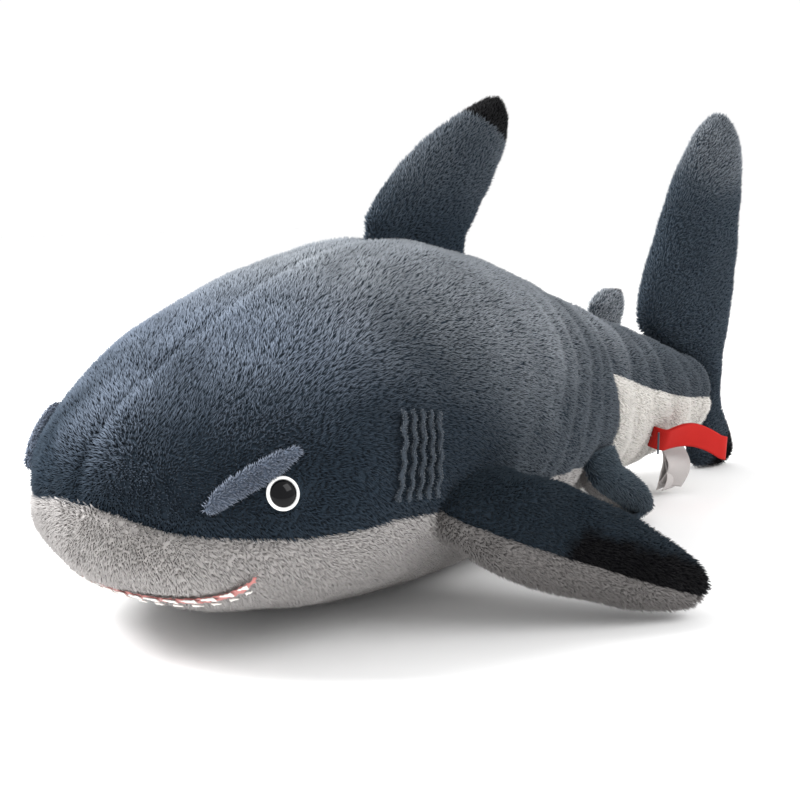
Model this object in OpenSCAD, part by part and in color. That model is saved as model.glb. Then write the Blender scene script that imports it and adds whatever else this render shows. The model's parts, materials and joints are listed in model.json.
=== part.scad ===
// Plush shark, sewn from cut pile and stuffed with loose fibre.
// Millimetres. Nose towards +X, the shark's left side towards +Y, +Z up.
// The origin is on the floor, in the middle of the flat the belly rests on.
// Stations run along the centre line: 0 is the nose, 1 is the tail root.
// Round angles on a section: 0 is the left flank, 90 the back, -90 the belly.

/* [Body] */
// Length of the centre line from the nose to the tail root
body_length = 647; // [630:1:665]
// Distance from the nose to the middle of the belly flat
nose_x = 272; // [266:1:278]
// Sideways sweep of the rear half, in degrees
tail_sweep = 17; // [14:1:19]

/* [Cloth and filling] */
// Thickness of the pile cloth
cloth = 3; // [2.4:0.1:3.4]
// Space between the cloth and the fibre inside it, in the body
ease = 2.6; // [2.4:0.1:3.2]
// The same space in the fins
fin_ease = 1.8; // [1.6:0.1:2.2]

/* [Bends] */
// Station where the tail bends away from the trunk
waist_at = 0.635; // [0.630:0.001:0.640]
// Space between trunk and tail at the waist
waist_gap = 3; // [2.5:0.5:4]

/* [Eyes] */
// Diameter of the white eye disc
eye_d = 18; // [17:0.5:19]
// Diameter of the black pupil
pupil_d = 12; // [10:0.5:13]

/* [Labels] */
// Length of the woven label
woven_l = 70; // [60:1:74]
// Height of the woven label
woven_h = 20; // [16:1:22]

/* [Hidden] */
$fn = 48;

slate = [0.29, 0.35, 0.42];
pale = [0.76, 0.75, 0.73];
cream = [0.92, 0.90, 0.86];
black = [0.07, 0.07, 0.08];
fibre = [0.97, 0.97, 0.96];
pink = [0.80, 0.42, 0.42];
white = [0.96, 0.96, 0.95];
red = [0.78, 0.13, 0.12];

// Station, half width, height of the back, height of the belly, height of the widest point.
// A belly height under 0 is pressed flat by the floor.
sections = [
    [0.00, 1, 75.5, 72.5, 74], [0.008, 30, 98, 55, 72], [0.03, 66, 122, 41, 69], [0.08, 104, 149, 23, 74],
    [0.16, 128, 180, 9, 86], [0.27, 133, 210, -2, 92], [0.38, 124, 222, -5, 90], [0.50, 111, 209, -4, 87],
    [0.62, 92, 185, 4, 87],
    [0.74, 73, 159, 13, 87], [0.84, 60, 138, 20, 84], [0.90, 51, 125, 27, 81], [0.95, 38, 109, 38, 77],
    [0.98, 28, 94, 49, 72], [1.02, 20, 78, 56, 67]
];
// Round angle of the seam between the dark back and the pale belly, along the body
seam_line = [
    [0.004, 70], [0.009, 31], [0.017, 16], [0.03, 8], [0.05, 4.5], [0.09, 2], [0.12, -0.5], [0.15, -3],
    [0.21, -4], [0.45, -15], [0.56, -19], [0.70, -24]
];
// The same seam on the tail, where the pale flank patch rises
tail_seam_line = [[0.735, 14], [0.77, 10.5], [0.85, 3], [0.93, -5], [1.0, -12]];

top_round = 0.88;
belly_sides = 16;
back_sides = 10;
ring_sides = 20;
fin_sides = 16;
trunk_steps = 20;
tail_steps = 10;

bend_from = 0.5;
bend_radius = body_length * (1 - bend_from) / (tail_sweep * PI / 180);
waist_radius = half_width(waist_at) + 1;
fin_hinge_at = 0.92;
fin_hinge_radius = 42;
thread_r = 0.8;

// ---- Curves -------------------------------------------------------------

function unit(v) = v / norm(v);
function mix(a, b, k) = a + (b - a) * k;
function flat(rows) = [for (row = rows) each row];

// A smooth curve through column k of the sections
function seek(t, i = 0) = i >= len(sections) - 2 || t < sections[i + 1][0] ? i : seek(t, i + 1);
function slope(i, k) =
    let (a = sections[max(i - 1, 0)], b = sections[min(i + 1, len(sections) - 1)])
    (b[k] - a[k]) / (b[0] - a[0]);
function section(t, k) =
    let (
        i = seek(t),
        h = sections[i + 1][0] - sections[i][0],
        u = (t - sections[i][0]) / h
    )
    (2 * u ^ 3 - 3 * u ^ 2 + 1) * sections[i][k] + (u ^ 3 - 2 * u ^ 2 + u) * h * slope(i, k)
    + (3 * u ^ 2 - 2 * u ^ 3) * sections[i + 1][k] + (u ^ 3 - u ^ 2) * h * slope(i + 1, k);
function half_width(t) = section(t, 1);

// Centre line: straight to mid length, then an arc towards the left
function heading(t) = tail_sweep * max(0, t - bend_from) / (1 - bend_from);
function centre(t) =
    let (h = heading(t), straight = body_length * min(t, bend_from))
    [nose_x - straight - bend_radius * sin(h), bend_radius * (1 - cos(h))];
function sideways(t) = [sin(heading(t)), cos(heading(t)), 0];
function backwards(t) = [-cos(heading(t)), sin(heading(t)), 0];

// A point on the body, out from the surface by off
function rounded(v, p) = sign(v) * abs(v) ^ p;
function power(a) = sin(a) > 0 ? top_round : 1;
function lateral(t, a, off) = max(0.3, half_width(t) + off) * rounded(cos(a), power(a));
function height(t, a, off) =
    let (
        mid = section(t, 4),
        reach = sin(a) > 0 ? section(t, 2) - mid : mid - section(t, 3)
    )
    max(-off, mid + (reach + off) * rounded(sin(a), power(a)));
function skin(t, a, off = 0) =
    let (c = centre(t), s = sideways(t), l = lateral(t, a, off))
    [c[0] + l * s[0], c[1] + l * s[1], height(t, a, off)];
function skin_normal(t, a) =
    let (n = cross(skin(t + 0.002, a) - skin(t - 0.002, a), skin(t, a + 2) - skin(t, a - 2)))
    unit(n) * sign(n * (skin(t, a) - [centre(t)[0], centre(t)[1], section(t, 4)]));

// Station where the surface line at angle a meets an upright cylinder round a hinge
function on_cylinder(hinge, r, a, off, t, passes = 4) =
    let (l = lateral(t, a, off), d = sqrt(max(0, r ^ 2 - l ^ 2) / (1 - l / bend_radius)))
    passes == 0 ? t : on_cylinder(hinge, r, a, off, hinge + d / body_length, passes - 1);
function trunk_end(a, off) = on_cylinder(waist_at, waist_radius, a, off, 0.7);
function tail_start(a, off) = on_cylinder(waist_at, waist_radius + waist_gap, a, off, 0.7);
function tail_end(a, off) = on_cylinder(fin_hinge_at, fin_hinge_radius, a, off, 0.98);

// ---- Closed solids from grids of points ---------------------------------

function turned(faces, flip) = flip ? [for (f = faces) [f[2], f[1], f[0]]] : faces;
function sheet_faces(rows, cols, o) = [
    for (i = [0:rows - 2], j = [0:cols - 2])
        let (a = o + i * cols + j, b = a + cols)
        each [[a, a + 1, b + 1], [a, b + 1, b]]
];
function strip_faces(p, q) = [
    for (i = [0:len(p) - 2]) each [[p[i], q[i + 1], p[i + 1]], [p[i], q[i], q[i + 1]]]
];
function shifted(list, o) = [for (v = list) v + o];

// A panel of cloth between an outer and an inner grid
module panel(outer, inner, flip = false) {
    rows = len(outer);
    cols = len(outer[0]);
    n = rows * cols;
    first = [for (j = [0:cols - 1]) j];
    last = shifted(first, n - cols);
    left = [for (i = [0:rows - 1]) i * cols];
    right = shifted(left, cols - 1);
    faces = concat(
        sheet_faces(rows, cols, 0), turned(sheet_faces(rows, cols, n), true),
        strip_faces(first, shifted(first, n)), turned(strip_faces(last, shifted(last, n)), true),
        turned(strip_faces(left, shifted(left, n)), true), strip_faces(right, shifted(right, n))
    );
    polyhedron(concat(flat(outer), flat(inner)), turned(faces, flip), convexity = 8);
}

function distinct(f) = f[0] != f[1] && f[1] != f[2] && f[0] != f[2];
function cap_faces(n, o) = [
    for (j = [0:n / 2 - 1])
        let (a = j, b = j + 1, c = n - j - 1, d = (n - j) % n)
        for (f = [[a, b, c], [a, c, d]])
            if (distinct(f)) shifted(f, o)
];
// A stuffed shape through closed rings with an even number of points
module stuffed(rings, flip = false) {
    n = len(rings[0]);
    side = [
        for (i = [0:len(rings) - 2], j = [0:n - 1])
            let (a = i * n + j, b = i * n + (j + 1) % n)
            each [[a, b, b + n], [a, b + n, a + n]]
    ];
    faces = concat(side, turned(cap_faces(n, 0), true), cap_faces(n, (len(rings) - 1) * n));
    polyhedron(flat(rings), turned(faces, flip), convexity = 8);
}

// A pad or a tube along a path: width and thickness at each point
function pad_ring(p, across, out, w, th, sides) = [
    for (j = [0:sides - 1]) p + across * w / 2 * cos(360 * j / sides) + out * th / 2 * sin(360 * j / sides)
];
function path_dir(path, i) = unit(path[min(i + 1, len(path) - 1)] - path[max(i - 1, 0)]);
module pad(path, outs, widths, thicks, sides = 8) {
    stuffed([
        for (i = [0:len(path) - 1])
            pad_ring(path[i], unit(cross(path_dir(path, i), outs[i])), outs[i], widths[i], thicks[i], sides)
    ]);
}

module thread(a, b) {
    v = b - a;
    translate(a) rotate([0, acos(v[2] / norm(v)), atan2(v[1], v[0])]) cylinder(r = thread_r, h = norm(v));
}

// ---- Trunk ---------------------------------------------------------------

trunk_stops = [
    for (i = [0:trunk_steps]) let (k = i / trunk_steps) 0.35 * k ^ 2 + 0.65 * k ^ 1.25
];
nose_cloth = 0.008;
filling_from = 0.03;
function trunk_t(k, a, off) = mix(off < 0 ? nose_cloth : 0, trunk_end(a, off), k);
function trunk_sheet(off, from, sides) = [
    for (k = trunk_stops) [
        for (j = [0:sides])
            let (a0 = lookup(mix(0, 0.74, k), seam_line))
            let (a = from == 1 ? mix(a0, 90, j / sides) : from == -1 ? mix(180 - a0, 90, j / sides)
                : mix(a0, -180 - a0, j / sides))
            skin(trunk_t(k, a, off), a, off)
    ]
];

module back_cover_left() {
    color(slate) panel(trunk_sheet(0, 1, back_sides), trunk_sheet(-cloth, 1, back_sides));
}
module back_cover_right() {
    color(slate) panel(trunk_sheet(0, -1, back_sides), trunk_sheet(-cloth, -1, back_sides), true);
}
module belly_cover() {
    color(pale) panel(trunk_sheet(0, 0, belly_sides), trunk_sheet(-cloth, 0, belly_sides), true);
}
module trunk_filling() {
    inset = -cloth - ease;
    color(fibre) stuffed([
        for (k = trunk_stops) [
            for (j = [0:ring_sides - 1])
                let (a = 360 * j / ring_sides, t = mix(filling_from, trunk_end(a, inset), k))
                skin(t, a, inset)
        ]
    ]);
}

// ---- Face ----------------------------------------------------------------

eye_at = 0.087;
eye_angle = 17;
eye_depth = 2.4;
shank_r = 2.5;
shank_l = 12;
washer_r = 10;

function side_angle(a, side) = side == 1 ? a : 180 - a;
// Places children on the body with their Z axis along the surface normal
module on_skin(t, a, off) {
    n = skin_normal(t, a);
    translate(skin(t, a) + n * off) rotate([0, acos(n[2]), atan2(n[1], n[0])]) children();
}

module eye(side) {
    r = eye_d / 2;
    hole = pupil_d / 2 + 0.2;
    color(white) on_skin(eye_at, side_angle(eye_angle, side), 0.6) {
        rotate_extrude()
            polygon([[0, 0], [r - 0.8, 0], [r, 0.8], [r - 0.6, 2], [r - 1.6, eye_depth], [hole, eye_depth],
                [hole, 1.2], [0, 1.2]]);
        translate([0, 0, -shank_l]) cylinder(r = shank_r, h = shank_l + 0.5);
    }
}
module pupil(side) {
    r = pupil_d / 2;
    rise = 2.6;
    color(black) on_skin(eye_at, side_angle(eye_angle, side), 1.9)
        rotate_extrude()
            polygon(concat([[0, 0], [r, 0]], [for (b = [0:15:90]) [r * cos(b), 0.8 + rise * sin(b)]]));
}
module eye_washer(side) {
    color(white) on_skin(eye_at, side_angle(eye_angle, side), -8)
        difference() {
            cylinder(r = washer_r, h = 1.6);
            translate([0, 0, -1]) cylinder(r = shank_r + 0.2, h = 4);
        }
}
module eye_left() { eye(1); }
module eye_right() { eye(-1); }
module pupil_left() { pupil(1); }
module pupil_right() { pupil(-1); }
module eye_washer_left() { eye_washer(1); }
module eye_washer_right() { eye_washer(-1); }

// Station, angle, width and thickness along the brow, from the nose backwards
brow_line = [
    [0.039, 17.5, 5, 4], [0.047, 21.5, 10, 6], [0.060, 25, 12, 6], [0.077, 27, 12, 6], [0.095, 28.5, 9, 5],
    [0.107, 29, 4, 4]
];
module brow(side) {
    path = [for (b = brow_line) skin(b[0], side_angle(b[1], side), 4.2)];
    outs = [for (b = brow_line) skin_normal(b[0], side_angle(b[1], side))];
    color(slate) pad(path, outs, [for (b = brow_line) b[2]], [for (b = brow_line) b[3]]);
}
module brow_left() { brow(1); }
module brow_right() { brow(-1); }

// Five sewn tucks on each side, leaning forwards at the bottom: station and angle of both ends
tucks = 5;
tuck_d = 3.6;
function tuck_top(i) = [0.197 + 0.0093 * i, 24 - 1.2 * i];
function tuck_bottom(i) = [0.175 + 0.0113 * i, 1 - 0.9 * i];
module gill_tucks(side) {
    color(slate) for (i = [0:tucks - 1]) {
        ends = [for (k = [0:6]) mix(tuck_top(i), tuck_bottom(i), k / 6)];
        pad([for (e = ends) skin(e[0], side_angle(e[1], side), 2.1)],
            [for (e = ends) skin_normal(e[0], side_angle(e[1], side))],
            [for (e = ends) tuck_d], [for (e = ends) tuck_d], 6);
    }
}
module gill_tucks_left() { gill_tucks(1); }
module gill_tucks_right() { gill_tucks(-1); }

mouth_corner = -15;
mouth_steps = 20;
teeth = 17;
function mouth_t(a) = 0.034 + 0.038 * cos(a) ^ 2;
function gape(a) = 0.013 * (1 - (abs(a + 90) / (90 + mouth_corner)) ^ 4) + 0.001;
module mouth_lining() {
    angles = [for (j = [0:mouth_steps]) mix(mouth_corner, -180 - mouth_corner, j / mouth_steps)];
    function band(off) = [for (k = [0, 0.5, 1]) [for (a = angles) skin(mouth_t(a) + k * gape(a), a, off)]];
    color(pink) panel(band(1.4), band(0.3), true);
}
module tooth(a, half, root_t, tip_t) {
    function corners(off) = [
        skin(root_t(a - half), a - half, off), skin(root_t(a + half), a + half, off), skin(tip_t(a), a, off)
    ];
    polyhedron(concat(corners(3), corners(1.7)),
        [[0, 1, 2], [5, 4, 3], [0, 3, 4], [0, 4, 1], [1, 4, 5], [1, 5, 2], [2, 5, 3], [2, 3, 0]]);
}
tooth_pitch = (150 - 2 * 8) / teeth;
module upper_teeth() {
    color(white) for (i = [0:teeth - 1])
        tooth(mouth_corner - 8 - tooth_pitch * (i + 0.5), tooth_pitch * 0.46,
            function(a) mouth_t(a) - 0.001, function(a) mouth_t(a) + 0.55 * gape(a));
}
module lower_teeth() {
    color(white) for (i = [1:teeth - 1])
        tooth(mouth_corner - 8 - tooth_pitch * i, tooth_pitch * 0.34,
            function(a) mouth_t(a) + gape(a) + 0.001, function(a) mouth_t(a) + 0.66 * gape(a));
}

// The opening that the fibre went in through, drawn shut by hand on the right flank
module closing_stitches() {
    color(slate) for (t = [0.50:0.008:0.56]) {
        a = 180 - lookup(t, seam_line);
        thread(skin(t, a + 3, 1.4), skin(t + 0.004, a - 3, 1.4));
    }
}

// ---- Fins ----------------------------------------------------------------

// A filling stops where it would be thinner than this
thin_end = 6;
// A fin lies in a frame: origin, direction along the chord, direction along the span, thickness.
// Each station of a fin: front edge and rear edge in that frame, and the thickness there.
function fin_point(f, s, a, inset) =
    let (
        front = [s[0], s[1]], rear = [s[2], s[3]],
        e = unit(front - rear),
        mid = (front + rear) / 2 + e * max(0.3, norm(front - rear) / 2 - inset) * cos(a)
    )
    f[0] + f[1] * mid[0] + f[2] * mid[1] + f[3] * max(0.3, s[4] / 2 - inset) * sin(a);
function fin_half(f, stations, inset, side) = [
    for (s = stations) [for (j = [0:fin_sides / 2]) fin_point(f, s, side * 360 * j / fin_sides, inset)]
];
module fin_cover(f, stations, side, flip) {
    panel(fin_half(f, stations, 0, side), fin_half(f, stations, cloth, side), flip);
}
module fin_solid(f, stations, inset, flip) {
    stuffed([
        for (s = stations)
            if (s[4] > 2 * inset + (inset > 0 ? thin_end : 0))
                [for (j = [0:fin_sides - 1]) fin_point(f, s, 360 * j / fin_sides, inset)]
    ], flip);
}

// Dorsal fin: distance from the nose and height
dorsal_frame = [[nose_x, 0, 0], [-1, 0, 0], [0, 0, 1], [0, 1, 0]];
dorsal = [
    [240, 227, 348, 214, 9], [245, 236, 350, 221, 23], [261, 254, 362, 237, 31], [281, 271, 377, 258, 32],
    [304, 286, 389, 274, 30], [327, 298, 396, 284, 26], [348, 308, 400, 292, 21]
];
dorsal_point = [
    [348, 308, 400, 292, 21], [360, 313, 403, 304, 17], [371, 317.5, 400, 313, 12], [382, 321, 392, 319.5, 6]
];
dorsal_root = [[nose_x - 242, 0, 224.6], [nose_x - 348, 0, 213.2]];
module dorsal_cover_left() { color(slate) fin_cover(dorsal_frame, dorsal, 1, false); }
module dorsal_cover_right() { color(slate) fin_cover(dorsal_frame, dorsal, -1, true); }
module dorsal_tip() { color(black) fin_solid(dorsal_frame, dorsal_point, 0, false); }
module dorsal_filling() { color(fibre) fin_solid(dorsal_frame, dorsal, cloth + fin_ease, false); }
module dorsal_root_stitching() { color(slate) thread(dorsal_root[0], dorsal_root[1]); }

// Paired fins: each is sewn along a line on the flank, from one station and angle to another
function paired_root(from, to, off, side) =
    [skin(from[0], side_angle(from[1], side), off), skin(to[0], side_angle(to[1], side), off)];
function paired_frame(root, t, droop, side) =
    let (
        u = unit(root[1] - root[0]),
        wanted = sideways(t) * side * cos(droop) - [0, 0, sin(droop)],
        v = unit(wanted - u * (wanted * u)),
        n = cross(u, v)
    )
    [root[0], u, v, n * sign(n[2])];

pectoral = [
    [2, 3, 96, 3, 14], [3, 10, 100, 10, 50], [14, 28, 106, 28, 60], [35, 50, 113, 50, 58],
    [58, 73, 120, 73, 52], [80, 94, 125, 94, 42], [97, 109, 127, 109, 31], [108, 117, 126, 117, 18],
    [115, 120, 122, 120, 7]
];
pectoral_droop = 18;
function pectoral_root(side) = paired_root([0.235, -10], [0.395, -19], 4, side);
function pectoral_frame(side) = paired_frame(pectoral_root(side), 0.25, pectoral_droop, side);
module pectoral_top(side) { color(slate) fin_cover(pectoral_frame(side), pectoral, 1, side == -1); }
module pectoral_underside(side) { color(pale) fin_cover(pectoral_frame(side), pectoral, -1, side == 1); }
module pectoral_filling(side) {
    color(fibre) fin_solid(pectoral_frame(side), pectoral, cloth + fin_ease, side == -1);
}
module root_stitching(root) {
    color(slate) thread(mix(root[0], root[1], 0.04), mix(root[0], root[1], 0.96));
}
module pectoral_top_left() { pectoral_top(1); }
module pectoral_top_right() { pectoral_top(-1); }
module pectoral_underside_left() { pectoral_underside(1); }
module pectoral_underside_right() { pectoral_underside(-1); }
module pectoral_filling_left() { pectoral_filling(1); }
module pectoral_filling_right() { pectoral_filling(-1); }
module pectoral_stitching_left() { root_stitching(pectoral_root(1)); }
module pectoral_stitching_right() { root_stitching(pectoral_root(-1)); }

pelvic = [
    [2, 3, 54, 3, 9], [4, 8, 60, 8, 25], [17, 18, 70, 18, 31], [36, 28, 80, 28, 30], [53, 37, 87, 37, 24],
    [66, 43, 88, 43, 16], [76, 46, 85, 46, 6]
];
pelvic_droop = 56;
function pelvic_root(side) = paired_root([0.58, -24], [0.66, -28], 3, side);
function pelvic_frame(side) = paired_frame(pelvic_root(side), 0.6, pelvic_droop, side);
module pelvic_top(side) { color(slate) fin_cover(pelvic_frame(side), pelvic, 1, side == -1); }
module pelvic_underside(side) { color(pale) fin_cover(pelvic_frame(side), pelvic, -1, side == 1); }
module pelvic_filling(side) {
    color(fibre) fin_solid(pelvic_frame(side), pelvic, cloth + fin_ease, side == -1);
}
module pelvic_top_left() { pelvic_top(1); }
module pelvic_top_right() { pelvic_top(-1); }
module pelvic_underside_left() { pelvic_underside(1); }
module pelvic_underside_right() { pelvic_underside(-1); }
module pelvic_filling_left() { pelvic_filling(1); }
module pelvic_filling_right() { pelvic_filling(-1); }
module pelvic_stitching_left() { root_stitching(pelvic_root(1)); }
module pelvic_stitching_right() { root_stitching(pelvic_root(-1)); }

// ---- Tail ----------------------------------------------------------------

function tail_t(k, a, off) = mix(tail_start(a, off), tail_end(a, off), k);
function tail_sheet(off, from, sides) = [
    for (i = [0:tail_steps])
        let (k = i / tail_steps, a0 = lookup(mix(0.735, 0.98, k), tail_seam_line)) [
            for (j = [0:sides])
                let (a = from == 1 ? mix(a0, 90, j / sides) : from == -1 ? mix(180 - a0, 90, j / sides)
                    : mix(a0, -180 - a0, j / sides))
                skin(tail_t(k, a, off), a, off)
        ]
];
module tail_back_cover_left() {
    color(slate) panel(tail_sheet(0, 1, back_sides), tail_sheet(-cloth, 1, back_sides));
}
module tail_back_cover_right() {
    color(slate) panel(tail_sheet(0, -1, back_sides), tail_sheet(-cloth, -1, back_sides), true);
}
module tail_belly_cover() {
    color(cream) panel(tail_sheet(0, 0, belly_sides), tail_sheet(-cloth, 0, belly_sides), true);
}
module tail_filling() {
    inset = -cloth - ease;
    color(fibre) stuffed([
        for (i = [0:tail_steps]) [
            for (j = [0:ring_sides - 1])
                let (a = 360 * j / ring_sides)
                skin(tail_t(i / tail_steps, a, inset), a, inset)
        ]
    ]);
}

// Second dorsal fin: distance behind station 0.8 and height
second_dorsal_frame = [
    [centre(0.8)[0], centre(0.8)[1], 0], backwards(0.8), [0, 0, 1], sideways(0.8)
];
second_dorsal = [
    [-12, 153.5, 28, 144, 7], [-12, 158, 29, 150, 16], [-9, 163, 29, 160, 17], [-3, 168, 28, 167, 13],
    [2, 171, 25, 170.5, 9], [5, 172.3, 21, 172, 4]
];
module second_dorsal_cover_left() { color(black) fin_cover(second_dorsal_frame, second_dorsal, 1, false); }
module second_dorsal_cover_right() { color(black) fin_cover(second_dorsal_frame, second_dorsal, -1, true); }
module second_dorsal_filling() {
    color(fibre) fin_solid(second_dorsal_frame, second_dorsal, cloth + fin_ease, false);
}
module second_dorsal_stitching() {
    f = second_dorsal_frame;
    color(slate) thread(f[0] + f[1] * -10 + f[2] * 152, f[0] + f[1] * 27 + f[2] * 142.6);
}

// Tail fin: distance behind the tail root and height, from the lower lobe to the upper tip
tail_fin_frame = [[centre(1)[0], centre(1)[1], 0], backwards(1), [0, 0, 1], sideways(1)];
tail_fin = [
    [20, 1.5, 42, 1.2, 6], [8, 6, 50, 5, 17], [-2, 16, 52, 14, 24], [-5, 28, 47, 27, 27],
    [-4, 41, 37, 40, 28], [-3, 54, 29, 53, 26], [-3, 67, 26, 66, 25], [-3, 82, 26, 81, 25], [-3, 97, 27, 96, 26],
    [-12, 109, 28, 108, 28], [-34, 123, 31, 122, 32], [-56, 136, 34, 134, 36], [-72, 146, 36, 144, 38],
    [-72, 168, 37, 168, 38],
    [-60, 200, 40, 200, 36], [-48, 235, 42, 233, 34], [-35, 266, 44, 264, 30], [-20, 292, 41, 290, 26],
    [-8, 309, 34, 308, 20], [1, 318, 27, 318, 13], [8, 322, 20, 322, 5]
];
module tail_fin_cover_left() { color(slate) fin_cover(tail_fin_frame, tail_fin, 1, false); }
module tail_fin_cover_right() { color(slate) fin_cover(tail_fin_frame, tail_fin, -1, true); }
module tail_fin_filling() { color(fibre) fin_solid(tail_fin_frame, tail_fin, cloth + fin_ease, false); }

// ---- Labels --------------------------------------------------------------

woven_t = 1.4;
woven_root = skin(0.803, -27, 8);
woven_turn = 150;
// Each label starts this far from the middle of its stitching
label_start = 1.2;
module woven_label() {
    color(red) translate(woven_root) rotate(woven_turn) translate([label_start, -woven_t / 2, -woven_h / 2])
        cube([woven_l, woven_t, woven_h]);
}

// Care label: distance out from its stitching and height, along its length
care_curve = [[label_start, 45.6], [7, 41], [10, 33], [9, 24], [5, 15], [0, 7]];
care_w = 25;
care_t = 1.2;
care_at = skin(0.83, -36, 4);
care_h = 46;
// A point of that curve, moved out from its face by off
function care_point(i, off) =
    let (d = unit(care_curve[min(i + 1, len(care_curve) - 1)] - care_curve[max(i - 1, 0)]))
    care_curve[i] + [-d[1], d[0]] * off;
module care_label() {
    b = backwards(0.83);
    s = sideways(0.83);
    function edge(off) = [
        for (i = [0:len(care_curve) - 1]) let (c = care_point(i, off)) [
            for (k = [0, care_w]) [care_at[0], care_at[1], 0] + b * k + s * c[0] + [0, 0, c[1]]
        ]
    ];
    color(white) panel(edge(care_t), edge(0));
}
module label_stitching() {
    half = [0, 0, woven_h / 2 - 1];
    care_root = [care_at[0], care_at[1], care_h];
    color(slate) thread(woven_root - half, woven_root + half);
    color(slate) thread(care_root + backwards(0.83), care_root + backwards(0.83) * (care_w - 1));
}

back_cover_left();
back_cover_right();
belly_cover();
trunk_filling();
eye_left();
eye_right();
pupil_left();
pupil_right();
eye_washer_left();
eye_washer_right();
brow_left();
brow_right();
gill_tucks_left();
gill_tucks_right();
mouth_lining();
upper_teeth();
lower_teeth();
closing_stitches();
dorsal_cover_left();
dorsal_cover_right();
dorsal_tip();
dorsal_filling();
dorsal_root_stitching();
pectoral_top_left();
pectoral_top_right();
pectoral_underside_left();
pectoral_underside_right();
pectoral_filling_left();
pectoral_filling_right();
pectoral_stitching_left();
pectoral_stitching_right();
pelvic_top_left();
pelvic_top_right();
pelvic_underside_left();
pelvic_underside_right();
pelvic_filling_left();
pelvic_filling_right();
pelvic_stitching_left();
pelvic_stitching_right();
tail_back_cover_left();
tail_back_cover_right();
tail_belly_cover();
tail_filling();
second_dorsal_cover_left();
second_dorsal_cover_right();
second_dorsal_filling();
second_dorsal_stitching();
tail_fin_cover_left();
tail_fin_cover_right();
tail_fin_filling();
woven_label();
care_label();
label_stitching();
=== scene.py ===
# %% [markdown]
# # A plush shark
# A sewn toy: panels of pile cloth, stuffed with loose fibre, with moulded eyes, a felt mouth and two
# labels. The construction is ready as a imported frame, with every piece at its real size and every joint
# in its place. This lesson gives each piece its looks around that frame, and never moves or resizes it.

# %% Load the frame
import json
import math
import bmesh
import bpy
import numpy as np
from mathutils import Matrix, Vector, noise
from mathutils.bvhtree import BVHTree


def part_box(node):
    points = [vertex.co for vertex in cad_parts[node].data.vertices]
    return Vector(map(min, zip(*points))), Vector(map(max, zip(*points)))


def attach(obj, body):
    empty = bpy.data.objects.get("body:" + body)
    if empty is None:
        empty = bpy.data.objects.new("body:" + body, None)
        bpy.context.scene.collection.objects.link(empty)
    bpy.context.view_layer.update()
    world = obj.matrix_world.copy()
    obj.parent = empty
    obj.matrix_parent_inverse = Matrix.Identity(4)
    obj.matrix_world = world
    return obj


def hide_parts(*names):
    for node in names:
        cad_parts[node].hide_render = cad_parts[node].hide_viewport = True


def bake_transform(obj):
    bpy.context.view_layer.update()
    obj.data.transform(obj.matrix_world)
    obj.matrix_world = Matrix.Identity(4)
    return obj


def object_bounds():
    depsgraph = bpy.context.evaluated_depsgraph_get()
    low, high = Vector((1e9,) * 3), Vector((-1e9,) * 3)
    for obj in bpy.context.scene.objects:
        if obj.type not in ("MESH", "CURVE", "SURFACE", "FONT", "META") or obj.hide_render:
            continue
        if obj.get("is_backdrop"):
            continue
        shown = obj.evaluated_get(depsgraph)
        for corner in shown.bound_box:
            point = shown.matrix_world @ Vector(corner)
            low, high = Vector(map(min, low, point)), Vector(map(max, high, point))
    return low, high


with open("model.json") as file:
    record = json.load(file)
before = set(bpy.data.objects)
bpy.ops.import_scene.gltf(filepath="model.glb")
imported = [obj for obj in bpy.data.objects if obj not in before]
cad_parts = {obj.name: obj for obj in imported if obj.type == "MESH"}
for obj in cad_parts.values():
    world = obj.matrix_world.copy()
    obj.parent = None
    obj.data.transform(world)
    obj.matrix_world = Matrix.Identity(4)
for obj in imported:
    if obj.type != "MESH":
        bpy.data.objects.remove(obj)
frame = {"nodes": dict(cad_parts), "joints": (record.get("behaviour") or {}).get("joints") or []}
cad_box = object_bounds()
joints = {joint["name"]: joint for joint in frame["joints"]}

# %% [markdown]
# ## The camera
# The camera stands low in front of the shark's left cheek, so the head is large and the tail falls away.
# A long lens from further off would frame the same toy, but it would flatten it: the strong perspective
# comes from the short distance.

# %% Camera
CAMERA_PLACE = (0.629, 0.5206, 0.2501)
CAMERA_AIM = (0.001, 0.0028, 0.1095)
LENS_MM = 53.3


def make_camera():
    camera = bpy.data.objects.new("camera", bpy.data.cameras.new("camera"))
    bpy.context.scene.collection.objects.link(camera)
    camera.data.lens = LENS_MM
    camera.location = CAMERA_PLACE
    view = Vector(CAMERA_AIM) - Vector(CAMERA_PLACE)
    camera.rotation_euler = view.to_track_quat("-Z", "Y").to_euler()
    bpy.context.scene.camera = camera


make_camera()

# %% [markdown]
# ## Shader maths
# A pattern is easier to read as a sum than as a web of nodes. `Wire` wraps one output socket, and an
# expression such as `1 - mask * 0.5` then adds the Math nodes that it needs. `Finish` is one material:
# `node` adds any other node, with its settings set first and then the values or wires of its sockets.

# %% Wire and Finish
class Wire:
    """One output of a node, with Python's arithmetic."""

    def __init__(self, tree, socket):
        self.tree = tree
        self.socket = socket

    def math(self, operation, *values, clamp=False):
        node = self.tree.nodes.new("ShaderNodeMath")
        node.operation = operation
        node.use_clamp = clamp
        for socket, value in zip(node.inputs, values):
            feed(self.tree, socket, value)
        return Wire(self.tree, node.outputs[0])

    def __add__(self, other):
        return self.math("ADD", self, other)

    def __sub__(self, other):
        return self.math("SUBTRACT", self, other)

    def __rsub__(self, other):
        return self.math("SUBTRACT", other, self)

    def __mul__(self, other):
        return self.math("MULTIPLY", self, other)

    def __truediv__(self, other):
        return self.math("DIVIDE", self, other)

    def __pow__(self, other):
        return self.math("POWER", self, other)

    def clamped(self):
        return self.math("ADD", self, 0, clamp=True)

    __radd__ = __add__
    __rmul__ = __mul__


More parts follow.
